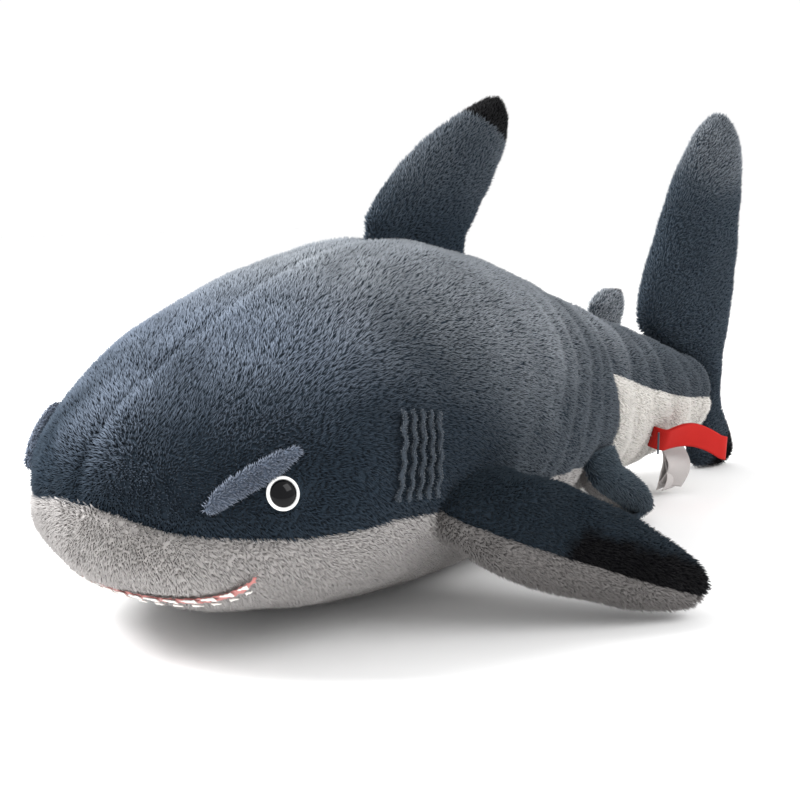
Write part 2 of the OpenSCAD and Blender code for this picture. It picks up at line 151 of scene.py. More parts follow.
def feed(tree, socket, value):
    """Links a wire to a socket, or sets the socket's own value."""
    if isinstance(value, Wire):
        tree.links.new(value.socket, socket)
    elif value is not None:
        socket.default_value = value


class Finish:
    """A material under construction."""

    def __init__(self, name):
        self.material = bpy.data.materials.new(name)
        self.material.use_nodes = True
        self.tree = self.material.node_tree
        self.shader = self.tree.nodes["Principled BSDF"]
        self.place = self.node("ShaderNodeTexCoord", out="Object")

    def node(self, kind, out=0, settings=(), **sockets):
        node = self.tree.nodes.new(kind)
        for key, value in dict(settings).items():
            setattr(node, key, value)
        for key, value in sockets.items():
            feed(self.tree, node.inputs[key.replace("_", " ")], value)
        return Wire(self.tree, node.outputs[out])

    def noise(self, scale, detail=2.0, stretch=(1, 1, 1), roughness=0.5):
        spot = self.node("ShaderNodeMapping", Vector=self.place, Scale=stretch)
        return self.node(
            "ShaderNodeTexNoise", out="Fac", Vector=spot, Scale=scale, Detail=detail, Roughness=roughness,
        )

    def attribute(self, name):
        """A number that the mesh carries at each of its points."""
        return self.node("ShaderNodeAttribute", out="Fac", settings={"attribute_name": name})

    def ramp(self, value, low, high):
        """0 where value is low, 1 where it is high, and smooth between them."""
        return self.node(
            "ShaderNodeMapRange", settings={"interpolation_type": "SMOOTHSTEP"},
            Value=value, From_Min=low, From_Max=high,
        )

    def vector_math(self, operation, first, second, out="Vector"):
        """Vector Math has two inputs of one name, so they are fed by their order."""
        node = self.tree.nodes.new("ShaderNodeVectorMath")
        node.operation = operation
        feed(self.tree, node.inputs[0], first)
        feed(self.tree, node.inputs[1], second)
        return Wire(self.tree, node.outputs[out])

    def mix(self, factor, low, high):
        """A colour between low, at factor 0, and high, at factor 1."""
        node = self.tree.nodes.new("ShaderNodeMix")
        node.data_type = "RGBA"
        for socket, value in zip((node.inputs[0], node.inputs[6], node.inputs[7]), (factor, low, high)):
            feed(self.tree, socket, value)
        return Wire(self.tree, node.outputs[2])

    def bump(self, height, distance, strength=1.0):
        return self.node("ShaderNodeBump", Height=height, Distance=distance, Strength=strength)

    def set(self, **sockets):
        for key, value in sockets.items():
            feed(self.tree, self.shader.inputs[key.replace("_", " ")], value)
        return self.material


def rgb(red, green, blue):
    return (red, green, blue, 1.0)


# %% [markdown]
# ## The centre line
# The shark's body is straight to mid length and then sweeps to its left on an arc. A curve object could
# carry that line, but both upright hinges, at the waist and at the tail root, stand on it, so the arc is
# worked out from where the two hinges are and always fits them.

# %% Centre line
UP = Vector((0, 0, 1))
nose_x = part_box("belly_cover")[1].x
waist = Vector(joints["waist_bend"]["pos_m"])
tail_hinge = Vector(joints["tail_fin_sway"]["pos_m"])


def find_bend():
    """Start and radius of the arc: its circle touches the X axis and passes through both hinges."""
    share = waist.y / tail_hinge.y
    a = 1 - share
    b = 2 * (share * tail_hinge.x - waist.x)
    c = waist.x ** 2 + waist.y ** 2 - share * (tail_hinge.x ** 2 + tail_hinge.y ** 2)
    start = (-b + math.sqrt(b * b - 4 * a * c)) / (2 * a)
    radius = ((waist.x - start) ** 2 + waist.y ** 2) / (2 * waist.y)
    return start, radius


bend_x, bend_radius = find_bend()
straight = nose_x - bend_x


def heading(s):
    """How far the centre line has turned at a distance s from the nose."""
    return max(0.0, s - straight) / bend_radius


def spine(s):
    """The centre line's own point, on the floor."""
    h = heading(s)
    ahead = nose_x - min(s, straight) - bend_radius * math.sin(h)
    return Vector((ahead, bend_radius * (1 - math.cos(h)), 0))


def left(s):
    """The direction to the shark's left at a distance s from the nose."""
    return Vector((math.sin(heading(s)), math.cos(heading(s)), 0))


def back(s):
    """The direction to the tail at a distance s from the nose."""
    return Vector((-math.cos(heading(s)), math.sin(heading(s)), 0))


def station(p):
    """How far along the centre line a point is from the nose, and how far to the left of it."""
    if p.x > bend_x:
        return nose_x - p.x, p.y
    h = math.atan2(bend_x - p.x, bend_radius - p.y)
    return straight + bend_radius * h, bend_radius - math.hypot(bend_x - p.x, bend_radius - p.y)


waist_s = station(waist)[0]
hinge_s = station(tail_hinge)[0]
print("the bend starts at x =", round(bend_x, 4), "and its radius is", round(bend_radius, 3))
print("from the nose, waist at", round(waist_s, 3), "and tail root at", round(hinge_s, 3))

# %% [markdown]
# ## Measuring the frame
# The frame's covers are coarse, and they stop short at each hinge. Copying them would copy their flat
# faces and gaps. Instead, straight lines shot at them from outside give the body's outline, and a slot
# narrower than a few centimetres is closed before the skin is made.

# %% Search tree
def tree_over(names):
    """A search tree over CAD nodes, to find where a line meets them or which point of them is nearest."""
    verts = []
    faces = []
    for name in names:
        mesh = frame["nodes"][name].data
        start = len(verts)
        verts += [v.co.copy() for v in mesh.vertices]
        faces += [[start + i for i in p.vertices] for p in mesh.polygons]
    return BVHTree.FromPolygons(verts, faces)


def middle(name):
    """The middle of a CAD node's box."""
    low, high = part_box(name)
    return (low + high) / 2


def smooth(value):
    """0 below 0, 1 above 1, and an even curve between."""
    value = min(1.0, max(0.0, value))
    return value * value * (3 - 2 * value)


def along(curve, x):
    """A value read from a short list of (x, value) points."""
    return float(np.interp(x, [p[0] for p in curve], [p[1] for p in curve]))


# %% Body outline
# At the nose and the tail the lines fan out from one station, over a length of the skin
NOSE_FAN = 0.085
NOSE_ARC = 0.13
TAIL_FAN = 0.612
TAIL_ARC = 0.05
TAIL_ROUND = 0.030
RINGS = 156
SEGMENTS = 160
SHOT = 0.4
SLOT_RINGS = 4
EVENING_PASSES = 6
# Distance from the nose, and height, of the core that the lines point at
CORE = [
    (0.085, 0.080), (0.175, 0.092), (0.25, 0.090), (0.40, 0.087),
    (0.54, 0.085), (0.60, 0.079), (0.66, 0.067),
]
BODY_COVERS = [
    "back_cover_left", "back_cover_right", "belly_cover",
    "tail_back_cover_left", "tail_back_cover_right", "tail_belly_cover",
]


def ring_aim(ring, segment):
    """The start and direction of the line that a point of the skin is measured on."""
    total = NOSE_ARC + TAIL_FAN - NOSE_FAN + TAIL_ARC
    run = total * ring / RINGS
    tilt = 0.0
    s = NOSE_FAN + run - NOSE_ARC
    if run < NOSE_ARC:
        tilt = math.pi / 2 * (1 - run / NOSE_ARC)
        s = NOSE_FAN
    elif run > total - TAIL_ARC:
        tilt = -math.pi / 2 * (run - total + TAIL_ARC) / TAIL_ARC
        s = TAIL_FAN
    angle = 2 * math.pi * segment / SEGMENTS
    radial = left(s) * math.cos(angle) + UP * math.sin(angle)
    return spine(s) + UP * along(CORE, s), radial * math.cos(tilt) - back(s) * math.sin(tilt), tilt


def slide(values, reach, pick):
    """The largest or smallest of each value's neighbours along the body."""
    padded = np.pad(values, ((reach, reach), (0, 0)), mode="edge")
    return pick([padded[k:k + len(values)] for k in range(2 * reach + 1)], axis=0)


def relax(values, passes):
    """Evens out a field that runs round the body in its second direction."""
    for _ in range(passes):
        values = (np.roll(values, 1, 1) + 2 * values + np.roll(values, -1, 1)) / 4
        padded = np.pad(values, ((1, 1), (0, 0)), mode="edge")
        values = (padded[:-2] + 2 * values + padded[2:]) / 4
    return values


def measure_body():
    """The skin's distance from the core, for every ring and segment."""
    tree = tree_over(BODY_COVERS)
    reach = np.zeros((RINGS + 1, SEGMENTS))
    tilts = np.zeros(RINGS + 1)
    for i in range(RINGS + 1):
        for j in range(SEGMENTS):
            start, direction, tilts[i] = ring_aim(i, j)
            hit = tree.ray_cast(start + direction * SHOT, -direction, SHOT)[0]
            reach[i, j] = (hit - start).length if hit else 0.0
    reach = slide(slide(reach, SLOT_RINGS, np.max), SLOT_RINGS, np.min)
    reach = relax(reach, EVENING_PASSES)
    tail = tilts < 0
    last = reach[np.argmax(tail) - 1]
    for i in np.nonzero(tail)[0]:
        across = math.cos(tilts[i]) / last
        reach[i] = 1 / np.sqrt(across ** 2 + (math.sin(tilts[i]) / TAIL_ROUND) ** 2)
    reach[0] = reach[0].mean()
    return reach


body_reach = measure_body()
print("body measured, widest reach", round(float(body_reach.max()), 4))

# %% [markdown]
# ## Seams and folds
# The dark back panels meet the pale belly on a long seam, which runs round the snout above the nose. On
# the tail a cream panel rises up the flank. Each seam is a groove, because both edges are turned in.
# Behind the widest point the stuffed body is slack, so its skin lies in upright folds, one behind
# another. A fold is only a few millimetres deep, so it is worked out as a depth at each point and not
# sculpted.

# %% Seam and fold lines
# Distance from the nose, and height, of the belly seam and of the cream panel's top edge
BELLY_SEAM = [
    (0.000, 0.0930), (0.006, 0.0885), (0.011, 0.0845), (0.019, 0.0800), (0.031, 0.0785), (0.060, 0.0767),
    (0.085, 0.0762), (0.105, 0.0772), (0.118, 0.0785), (0.137, 0.0768), (0.292, 0.065), (0.360, 0.059),
    (0.455, 0.051),
]
CREAM_SEAM = [
    (0.430, 0.119), (0.448, 0.115), (0.495, 0.101), (0.551, 0.087), (0.587, 0.080), (0.650, 0.072),
]
# Height, and distance from the nose, of the seam where the tail's panels are sewn to the trunk's
TAIL_SEAM = [
    (0.02, 0.434), (0.056, 0.439), (0.070, 0.444), (0.084, 0.446),
    (0.100, 0.441), (0.120, 0.436), (0.17, 0.437),
]
# Each fold: distance from the nose at the top, half way up and at the flank, then its depth and half width
FOLDS = [
    (0.300, 0.284, 0.246, 0.0012, 0.010),
    (0.334, 0.330, 0.296, 0.0018, 0.008),
    (0.362, 0.364, 0.330, 0.0022, 0.009),
    (0.398, 0.396, 0.366, 0.0026, 0.008),
    (0.426, 0.420, 0.398, 0.0016, 0.007),
    (0.474, 0.478, 0.480, 0.0022, 0.008),
    (0.510, 0.506, 0.514, 0.0020, 0.007),
    (0.542, 0.537, 0.545, 0.0026, 0.008),
    (0.580, 0.575, 0.588, 0.0022, 0.008),
]
HALF_UP = 0.45
CLOTH_INSET = 0.0016
BODY_MIDDLE = 0.087
BODY_HALF = 0.11
SEAM_HALF = 0.005
BELLY_GROOVE = 0.0020
CREAM_GROOVE = 0.0018
TAIL_GROOVE = 0.0030
BACK_GROOVE = 0.0016
BACK_SEAM_FROM = 0.09


def seam_level(p):
    """Height above the belly seam: above 0 is dark cloth."""
    return p.z - along(BELLY_SEAM, station(p)[0])


def cream_level(p):
    """Height above the cream panel's edge: below 0 is cream cloth."""
    return p.z - along(CREAM_SEAM, station(p)[0])


def tail_level(p):
    """Distance behind the seam that joins the tail's panels to the trunk's."""
    return station(p)[0] - along(TAIL_SEAM, p.z)


def middle_level(p):
    """Distance to the left of the seam along the middle of the back."""
    return station(p)[1]


def groove(distance, width, depth):
    """The depth of a rounded groove at a distance from its line."""
    return depth * math.exp(-((distance / width) ** 2))


def fold_depth(s, lift, side):
    """How deep the skin is drawn in at a station: lift is 0 at the flank, 1 on the back."""
    shift = 0.006 * math.sin(40 * s) if side < 0 else 0.0
    depth = 0.0
    for top, half, low, deep, width in FOLDS:
        place = low + (half - low) * min(1, lift / HALF_UP)
        place += (top - half) * max(0, lift - HALF_UP) / (1 - HALF_UP)
        wander = 0.009 * noise.noise(Vector((top * 50, lift * 2.5, side)))
        depth += groove(s - place - shift - wander, width, deep)
    return depth * smooth((lift + 0.9) / 0.5) * (1 - 0.55 * smooth((lift - 0.6) / 0.4))


def sink(p):
    """How far the cloth lies inside the frame's surface at a point."""
    s, side = station(p)
    lift = (p.z - BODY_MIDDLE) / BODY_HALF
    depth = CLOTH_INSET + fold_depth(s, lift, side)
    if tail_level(p) < 0:
        depth += groove(seam_level(p), SEAM_HALF, BELLY_GROOVE)
    else:
        depth += groove(cream_level(p), SEAM_HALF, CREAM_GROOVE)
    depth += groove(tail_level(p), SEAM_HALF, TAIL_GROOVE)
    if p.z > BACK_SEAM_FROM:
        depth += groove(side, SEAM_HALF, BACK_GROOVE)
    lumps = noise.noise(p * 22) * 0.0016 + noise.noise(p * 60) * 0.0006
    return depth - lumps


# %% [markdown]
# ## The skin
# The body's cloth is one closed ball to begin with: a UV sphere whose rings run from the nose to the
# tail, and whose points are carried out to the measured outline. Separate sheets could be laid side by
# side, but they would gape when the body bends. So the seams are cut into the one skin afterwards, and
# panels that are sewn together share the same edge.

# %% Skin
CLOTH_FLOOR = 0.0008


def turn_outwards(bm):
    """Makes every face look out, and works out the normals again."""
    bmesh.ops.recalc_face_normals(bm, faces=bm.faces)
    if bm.calc_volume(signed=True) < 0:
        bmesh.ops.reverse_faces(bm, faces=bm.faces)
    bm.normal_update()


def fix_order(bm):
    """Sorts edges and faces by their corners: operators leave them in another order each run, and tufts
    are drawn face by face."""
    bm.verts.index_update()
    for parts in (bm.edges, bm.faces):
        ranked = sorted(parts, key=lambda part: sorted(v.index for v in part.verts))
        for rank, part in enumerate(ranked):
            part.index = rank
        parts.sort()


def wrap_body():
    """A ball whose points are carried out to the measured outline, less the depth of its seams and folds."""
    bm = bmesh.new()
    bmesh.ops.create_uvsphere(bm, u_segments=SEGMENTS, v_segments=RINGS, radius=1)
    fix_order(bm)
    for v in bm.verts:
        ring = round((math.asin(max(-1, min(1, v.co.z))) / math.pi + 0.5) * RINGS)
        segment = round(math.atan2(v.co.y, v.co.x) / (2 * math.pi) * SEGMENTS) % SEGMENTS
        start, direction, _ = ring_aim(ring, segment)
        v.co = start + direction * float(body_reach[ring, segment])
    turn_outwards(bm)
    places = [(v, v.co - v.normal * sink(v.co)) for v in bm.verts]
    for v, place in places:
        v.co = place
        v.co.z = max(v.co.z, CLOTH_FLOOR)
    bm.normal_update()
    return bm


def cut_along(bm, level):
    """Makes edges where level(point) passes through 0, so that a seam can be opened there."""
    value = {v: level(v.co) for v in bm.verts}
    for edge in bm.edges:
        a, b = sorted(edge.verts, key=lambda v: v.index)
        if value[a] * value[b] < 0:
            share = value[a] / (value[a] - value[b])
            near, far, part = (a, b, share) if share < 0.5 else (b, a, 1 - share)
            if part < 0.3:
                near.co = near.co.lerp(far.co, part)
                value[near] = 0.0
    crossing = [e for e in bm.edges if value[e.verts[0]] * value[e.verts[1]] < 0]
    seam = [v for v in bm.verts if value[v] == 0.0]
    for edge in crossing:
        a, b = sorted(edge.verts, key=lambda v: v.index)
        seam.append(bmesh.utils.edge_split(edge, a, value[a] / (value[a] - value[b]))[1])
    bmesh.ops.connect_verts(bm, verts=seam)
    fix_order(bm)


def panel_of(bm, keep):
    """A copy of the faces whose middle passes the test."""
    part = bm.copy()
    unwanted = [f for f in part.faces if not keep(f.calc_center_median())]
    bmesh.ops.delete(part, geom=unwanted, context="FACES")
    return part


def object_from(bm, name):
    mesh = bpy.data.meshes.new(name)
    bm.to_mesh(mesh)
    bm.free()
    mesh.shade_smooth()
    piece = bpy.data.objects.new(name, mesh)
    bpy.context.scene.collection.objects.link(piece)
    return piece


body_skin = wrap_body()
for level in (seam_level, cream_level, tail_level, middle_level):
    cut_along(body_skin, level)
print("skin:", len(body_skin.faces), "faces")

# %% [markdown]
# ## The pile
# Plush is cut pile: short fibres that stand on a backing cloth and lean one way. A bump texture would
# leave the outline hard, and hair curves don't export. Here each tuft is a real spike with four faces,
# set on the cloth by Geometry Nodes, so the outline is soft from every side. Two attributes on the cloth
# steer it: `nap` is the way the pile is brushed, and `pile` is how much of it there is.

# %% Tufts
TUFTS_PER_M2 = 760000
TUFT_LENGTH = 0.0040
TUFT_WIDTH = 0.00097
TUFT_FACES = 4
TUFT_CORNERS = 4
PILE_FLOOR = 0.0003
# How strongly a tuft stands up, follows the nap, strays alone and swirls with its neighbours
STAND = 0.62
BRUSH = 0.8
STRAY = 0.24
SWIRL = 1.3


def add(tree, kind, out=0, settings=(), inputs=()):
    """Adds a Geometry Nodes node, with its settings first and then its inputs by name."""
    node = tree.nodes.new(kind)
    for key, value in dict(settings).items():
        setattr(node, key, value)
    for key, value in dict(inputs).items():
        feed(tree, node.inputs[key], value)
    return Wire(tree, node.outputs[out])


def vector_sum(tree, *terms):
    """Adds vectors, each with its own weight."""
    total = None
    for vector, weight in terms:
        part = add(
            tree, "ShaderNodeVectorMath", settings={"operation": "SCALE"},
            inputs={0: vector, "Scale": weight},
        )
        total = part if total is None else add(tree, "ShaderNodeVectorMath", inputs={0: total, 1: part})
    return total


def between(tree, low, high, seed):
    return add(
        tree, "FunctionNodeRandomValue", out="Value", settings={"data_type": "FLOAT"},
        inputs={2: low, 3: high, "Seed": seed},
    )


def tuft_shape(tree):
    """One spike, a metre high before it is scaled, with its height stored for the material."""
    spike = add(
        tree, "GeometryNodeMeshCone",
        inputs={"Vertices": 3, "Radius Top": 0.0, "Radius Bottom": 0.5, "Depth": 1.0},
    )
    place = add(tree, "GeometryNodeInputPosition")
    height = add(tree, "ShaderNodeSeparateXYZ", out="Z", inputs={0: place})
    return add(
        tree, "GeometryNodeStoreNamedAttribute", settings={"data_type": "FLOAT", "domain": "POINT"},
        inputs={"Geometry": spike, "Name": "tuft_tip", "Value": height},
    )


def random_vector(tree, low, high, seed):
    return add(
        tree, "FunctionNodeRandomValue", out="Value", settings={"data_type": "FLOAT_VECTOR"},
        inputs={0: low, 1: high, "Seed": seed},
    )


def from_cloth(tree, name, kind="FLOAT"):
    """An attribute that the cloth carries."""
    return add(tree, "GeometryNodeInputNamedAttribute", settings={"data_type": kind}, inputs={"Name": name})


def tuft_turn(tree, normal, seed):
    """The rotation that points each tuft the way it leans."""
    nap = from_cloth(tree, "nap", "FLOAT_VECTOR")
    scatter = random_vector(tree, (-1, -1, -1), (1, 1, 1), seed + 1)
    swirl = add(tree, "ShaderNodeTexNoise", out="Color", inputs={"Scale": 26.0, "Detail": 1.0})
    swirl = add(
        tree, "ShaderNodeVectorMath", settings={"operation": "SUBTRACT"},
        inputs={0: swirl, 1: (0.5, 0.5, 0.5)},
    )
    lean = vector_sum(tree, (normal, STAND), (nap, BRUSH), (scatter, STRAY), (swirl, SWIRL))
    turn = random_vector(tree, (0, 0, 0), (0, 0, 6.28), seed + 2)
    turn = add(tree, "FunctionNodeEulerToRotation", inputs={"Euler": turn})
    return add(
        tree, "FunctionNodeAlignRotationToVector", settings={"axis": "Z"},
        inputs={"Rotation": turn, "Factor": 1.0, "Vector": lean},
    )


def spread_tufts(tree, points, turn, amount, length, width, seed):
    """A tuft on every point, each with its own size and its own shade."""
    size = between(tree, 0.72, 1.15, seed + 3)
    scale = add(
        tree, "ShaderNodeCombineXYZ", inputs={0: size * width, 1: size * width, 2: size * length * amount},
    )
    tufts = add(
        tree, "GeometryNodeInstanceOnPoints",
        inputs={"Points": points, "Instance": tuft_shape(tree), "Rotation": turn, "Scale": scale},
    )
    return add(
        tree, "GeometryNodeStoreNamedAttribute", settings={"data_type": "FLOAT", "domain": "INSTANCE"},
        inputs={"Geometry": tufts, "Name": "tuft_shade", "Value": between(tree, 0.0, 1.0, seed + 4)},
    )


def pile_nodes(density, length, width, seed):
    tree = bpy.data.node_groups.new("pile", "GeometryNodeTree")
    tree.interface.new_socket("Geometry", in_out="INPUT", socket_type="NodeSocketGeometry")
    tree.interface.new_socket("Geometry", in_out="OUTPUT", socket_type="NodeSocketGeometry")
    amount = from_cloth(tree, "pile")
    spread = tree.nodes.new("GeometryNodeDistributePointsOnFaces")
    feed(tree, spread.inputs["Mesh"], add(tree, "NodeGroupInput"))
    feed(tree, spread.inputs["Density"], amount.math("GREATER_THAN", amount, 0.05) * density)
    feed(tree, spread.inputs["Seed"], seed)
    points = Wire(tree, spread.outputs["Points"])
    turn = tuft_turn(tree, Wire(tree, spread.outputs["Normal"]), seed)
    tufts = spread_tufts(tree, points, turn, amount, length, width, seed)
    result = tree.nodes.new("NodeGroupOutput")
    feed(tree, result.inputs[0], add(tree, "GeometryNodeRealizeInstances", inputs={"Geometry": tufts}))
    return tree


# %% Modifiers, attributes and maps
def baked(piece):
    """The mesh that a piece's modifiers make."""
    graph = bpy.context.evaluated_depsgraph_get()
    graph.update()
    made = piece.evaluated_get(graph)
    return bpy.data.meshes.new_from_object(made, preserve_all_data_layers=True, depsgraph=graph)


def apply_modifiers(piece):
    """Makes a piece's modifiers part of its mesh."""
    piece.data = baked(piece)
    piece.modifiers.clear()
    piece.data.name = piece.name


def thicken(piece, thickness, offset):
    """Gives a bare sheet real thickness: offset -1 puts all of it behind the sheet, and 0 half of it."""
    solid = piece.modifiers.new("thickness", "SOLIDIFY")
    solid.thickness = thickness
    solid.offset = offset
    apply_modifiers(piece)


def write_attribute(mesh, name, values, kind="FLOAT"):
    """Stores one number or vector for each point of a mesh."""
    attribute = mesh.attributes.get(name) or mesh.attributes.new(name, kind, "POINT")
    key = "vector" if kind == "FLOAT_VECTOR" else "value"
    attribute.data.foreach_set(key, np.asarray(values, np.float32).ravel())


def lay_out_map(mesh, cloth_faces):
    """Gives every cloth face and every tuft its own small square of the piece's UV map."""
    tufts = (len(mesh.polygons) - cloth_faces) // TUFT_FACES
    side = math.ceil(math.sqrt(cloth_faces + tufts))
    starts = np.zeros(len(mesh.polygons), np.int32)
    mesh.polygons.foreach_get("loop_start", starts)
    totals = np.zeros(len(mesh.polygons), np.int32)
    mesh.polygons.foreach_get("loop_total", totals)
    face = np.repeat(np.arange(len(mesh.polygons)), totals)
    corner = np.arange(len(mesh.loops)) - starts[face]
    cell = np.where(face < cloth_faces, face, cloth_faces + (face - cloth_faces) // TUFT_FACES)
    turn = 2 * np.pi * (corner + 0.5) / totals[face]
    u = 0.5 + 0.45 * np.cos(turn)
    v = 0.5 + 0.45 * np.sin(turn)
    vertex = np.zeros(len(mesh.loops), np.int32)
    mesh.loops.foreach_get("vertex_index", vertex)
    tip = np.zeros(len(mesh.vertices), np.float32)
    mesh.attributes["tuft_tip"].data.foreach_get("value", tip)
    on_tuft = face >= cloth_faces
    across = (vertex - vertex[on_tuft].min(initial=len(tip))) % TUFT_CORNERS / (TUFT_CORNERS - 1)
    u = np.where(on_tuft, np.where(tip[vertex] > 0.5, 0.5, 0.05 + 0.9 * across), u)
    v = np.where(on_tuft, 0.05 + 0.9 * tip[vertex], v)
    uv = np.stack([(cell % side + u) / side, (cell // side + v) / side], -1)
    layer = mesh.uv_layers.get("OFBake") or mesh.uv_layers.new(name="OFBake")
    layer.data.foreach_set("uv", uv.astype(np.float32).ravel())


def join(pieces):
    """Joins pieces into the first of them."""
    with bpy.context.temp_override(active_object=pieces[0], selected_editable_objects=pieces):
        bpy.ops.object.join()


# %% Dressing a sheet in pile
def mark_cloth(mesh, nap, pile):
    """Writes what the tufts and the material read from the cloth."""
    write_attribute(mesh, "nap", [nap(v.co, v.normal) for v in mesh.vertices], "FLOAT_VECTOR")
    write_attribute(mesh, "pile", [pile(v.co) if pile else 1.0 for v in mesh.vertices])
    write_attribute(mesh, "tuft_tip", np.zeros(len(mesh.vertices)))
    write_attribute(mesh, "tuft_shade", np.full(len(mesh.vertices), 0.5))


def grow_tufts(sheet, density, length, width, seed):
    """The tufts of a sheet, as an object of their own."""
    grown = sheet.modifiers.new("pile", "NODES")
    grown.node_group = pile_nodes(density, length, width, seed)
    tufts = bpy.data.objects.new("tufts", baked(sheet))
    bpy.context.scene.collection.objects.link(tufts)
    sheet.modifiers.clear()
    return tufts


def keep_above_floor(mesh):
    """Tufts under the toy are pressed flat by the floor."""
    place = np.zeros(len(mesh.vertices) * 3, np.float32)
    mesh.vertices.foreach_get("co", place)
    place[2::3] = np.maximum(place[2::3], PILE_FLOOR)
    mesh.vertices.foreach_set("co", place)


def dress(
    sheet, material, nap, pile=None, length=TUFT_LENGTH, width=TUFT_WIDTH, density=TUFTS_PER_M2, cloth=0.002,
    seed=1,
):
    """Turns a bare sheet into pile cloth: a backing of real thickness with tufts standing on it."""
    mark_cloth(sheet.data, nap, pile)
    tufts = grow_tufts(sheet, density, length, width, seed)
    if cloth:
        thicken(sheet, cloth, -1)
    sheet.data.name = sheet.name
    backing_faces = len(sheet.data.polygons)
    join([sheet, tufts])
    mesh = sheet.data
    keep_above_floor(mesh)
    lay_out_map(mesh, backing_faces)
    mesh.shade_smooth()
    mesh.materials.clear()
    mesh.materials.append(material)
    mesh.update()
    tuft_faces = len(mesh.polygons) - backing_faces
    backing = sum(len(p.vertices) - 2 for p in mesh.polygons[:backing_faces])
    print(sheet.name, "tufts:", tuft_faces // TUFT_FACES, "triangles:", backing + tuft_faces)


# %% [markdown]
# ## Colours of the pile
# The cloth is dyed, and the fibres are darker at the foot, where they shade each other, than at the cut
# tips. The tufts carry their own height as an attribute, so one ramp colours them from foot to tip. The
# slate cloth is greyer on the back than on the flanks, which a ramp on height gives. That ramp is partly
# the cloth's own dye and partly painted light: the top is painted lighter as if lit from above, and the
# flanks darker as painted shade.

# %% Pile finishes
SLATE_FOOT = rgb(0.018, 0.027, 0.038)
SLATE_TIP = rgb(0.028, 0.043, 0.062)
# The tips on the back and on top of the head: partly the slate cloth's own dye and partly painted light,
# lighter as if lit from above
SLATE_BACK_DYE_AND_PAINTED_LIGHT = rgb(0.335, 0.362, 0.395)
SLATE_HEAD_DYE_AND_PAINTED_LIGHT = rgb(0.190, 0.228, 0.292)
TAIL_TIP = rgb(0.066, 0.086, 0.110)
FLANK_TIP = rgb(0.080, 0.105, 0.128)
DARK_TIP = rgb(0.012, 0.020, 0.028)
PALE_FOOT = rgb(0.370, 0.353, 0.345)
PALE_TIP = rgb(0.440, 0.422, 0.416)
# The two colours below are the pale cloth painted darker for the fins' undersides: painted shade
PALE_PAINTED_SHADE_FOOT = rgb(0.180, 0.171, 0.167)
PALE_PAINTED_SHADE_TIP = rgb(0.205, 0.195, 0.191)
CREAM_FOOT = rgb(0.560, 0.535, 0.500)
CREAM_TIP = rgb(0.860, 0.835, 0.800)
BLACK_FOOT = rgb(0.001, 0.001, 0.002)
BLACK_TIP = rgb(0.004, 0.004, 0.005)
# Where the body's cloth turns from its head colour to its back colour, along x
HEAD_FROM = 0.08
HEAD_TO = 0.18
REAR_FROM = 0.07
REAR_TO = 0.02
# How far the tips low on the rear flank are pushed toward the top colour: the same mix of dye and painted
# light
REAR_DYE_AND_PAINTED_LIGHT = 0.27


def tip_colour(finish, clouds, tip, back, back_from, back_to, head):
    """The tufts' cut tips turn from `tip` low down to `back` on top, and to `head` on top of the head."""
    level = finish.node("ShaderNodeSeparateXYZ", out="Z", Vector=finish.place) + (clouds - 0.5) * 0.12
    if not head:
        return finish.mix(finish.ramp(level, back_from, back_to), tip, back)
    along_x = finish.node("ShaderNodeSeparateXYZ", out="X", Vector=finish.place)
    ahead = finish.ramp(along_x, HEAD_FROM, HEAD_TO)
    behind = finish.ramp(along_x, REAR_FROM, REAR_TO)
    low = back_from + 0.015 * ahead + 0.015 * behind
    high = back_to - 0.060 * ahead - 0.035 * behind
    # The share of the top colour, which is partly dye and partly painted light from above
    dye_and_light_share = finish.ramp(level, low, high)
    dye_and_light_share = dye_and_light_share + behind * (1 - dye_and_light_share) * REAR_DYE_AND_PAINTED_LIGHT
    return finish.mix(dye_and_light_share, tip, finish.mix(ahead, back, head))


def plush(name, foot, tip, back=None, black=None, back_from=0.085, back_to=0.225, head=None):
    """Pile cloth: it turns to the colour `back` on top, and `black(finish)` is where black is sprayed on."""
    finish = Finish(name)
    rise = finish.attribute("tuft_tip")
    shade = finish.attribute("tuft_shade")
    clouds = finish.noise(13.0, detail=3.0)
    tips = tip_colour(finish, clouds, tip, back, back_from, back_to, head) if back else tip
    colour = finish.mix((rise ** 0.7).clamped(), foot, tips)
    if black:
        inked = finish.mix(rise, BLACK_FOOT, BLACK_TIP)
        colour = finish.mix(black(finish), colour, inked)
    bright = 0.82 + 0.22 * shade + 0.30 * clouds
    colour = finish.node("ShaderNodeHueSaturation", Color=colour, Value=bright)
    return finish.set(
        Base_Color=colour, Roughness=0.88, Sheen_Weight=0.03, Sheen_Roughness=0.45, Specular_IOR_Level=0.08,
    )


slate_plush = plush("slate plush", SLATE_FOOT, SLATE_TIP, back=SLATE_BACK_DYE_AND_PAINTED_LIGHT, head=SLATE_HEAD_DYE_AND_PAINTED_LIGHT)
pale_plush = plush("pale plush", PALE_FOOT, PALE_TIP)
cream_plush = plush("cream plush", CREAM_FOOT, CREAM_TIP)

# %% [markdown]
# ## The body's panels
# Six panels make the body: two dark backs and a belly in front, and two backs and the cream piece on the
# tail. Each is the part of the skin that passes a test on which side of the seams it lies.

# %% Eyes and mouth, as places that the cloth goes round
eye_spots = {side: middle("pupil_" + side) for side in ("left", "right")}
mouth_tree = tree_over(["mouth_lining"])
EYE_CLEAR = 0.0085
MOUTH_CLEAR = 0.0010
CLEAR_FADE = 0.003


def body_pile(p):
    """Pile is left off under the eyes and the mouth, and is short beside them."""
    share = 1.0
    for spot in eye_spots.values():
        share *= smooth(((p - spot).length - EYE_CLEAR) / CLEAR_FADE)
    near = mouth_tree.find_nearest(p, 0.02)[3]
    if near is not None:
        share *= smooth((near - MOUTH_CLEAR) / CLEAR_FADE)
    return share


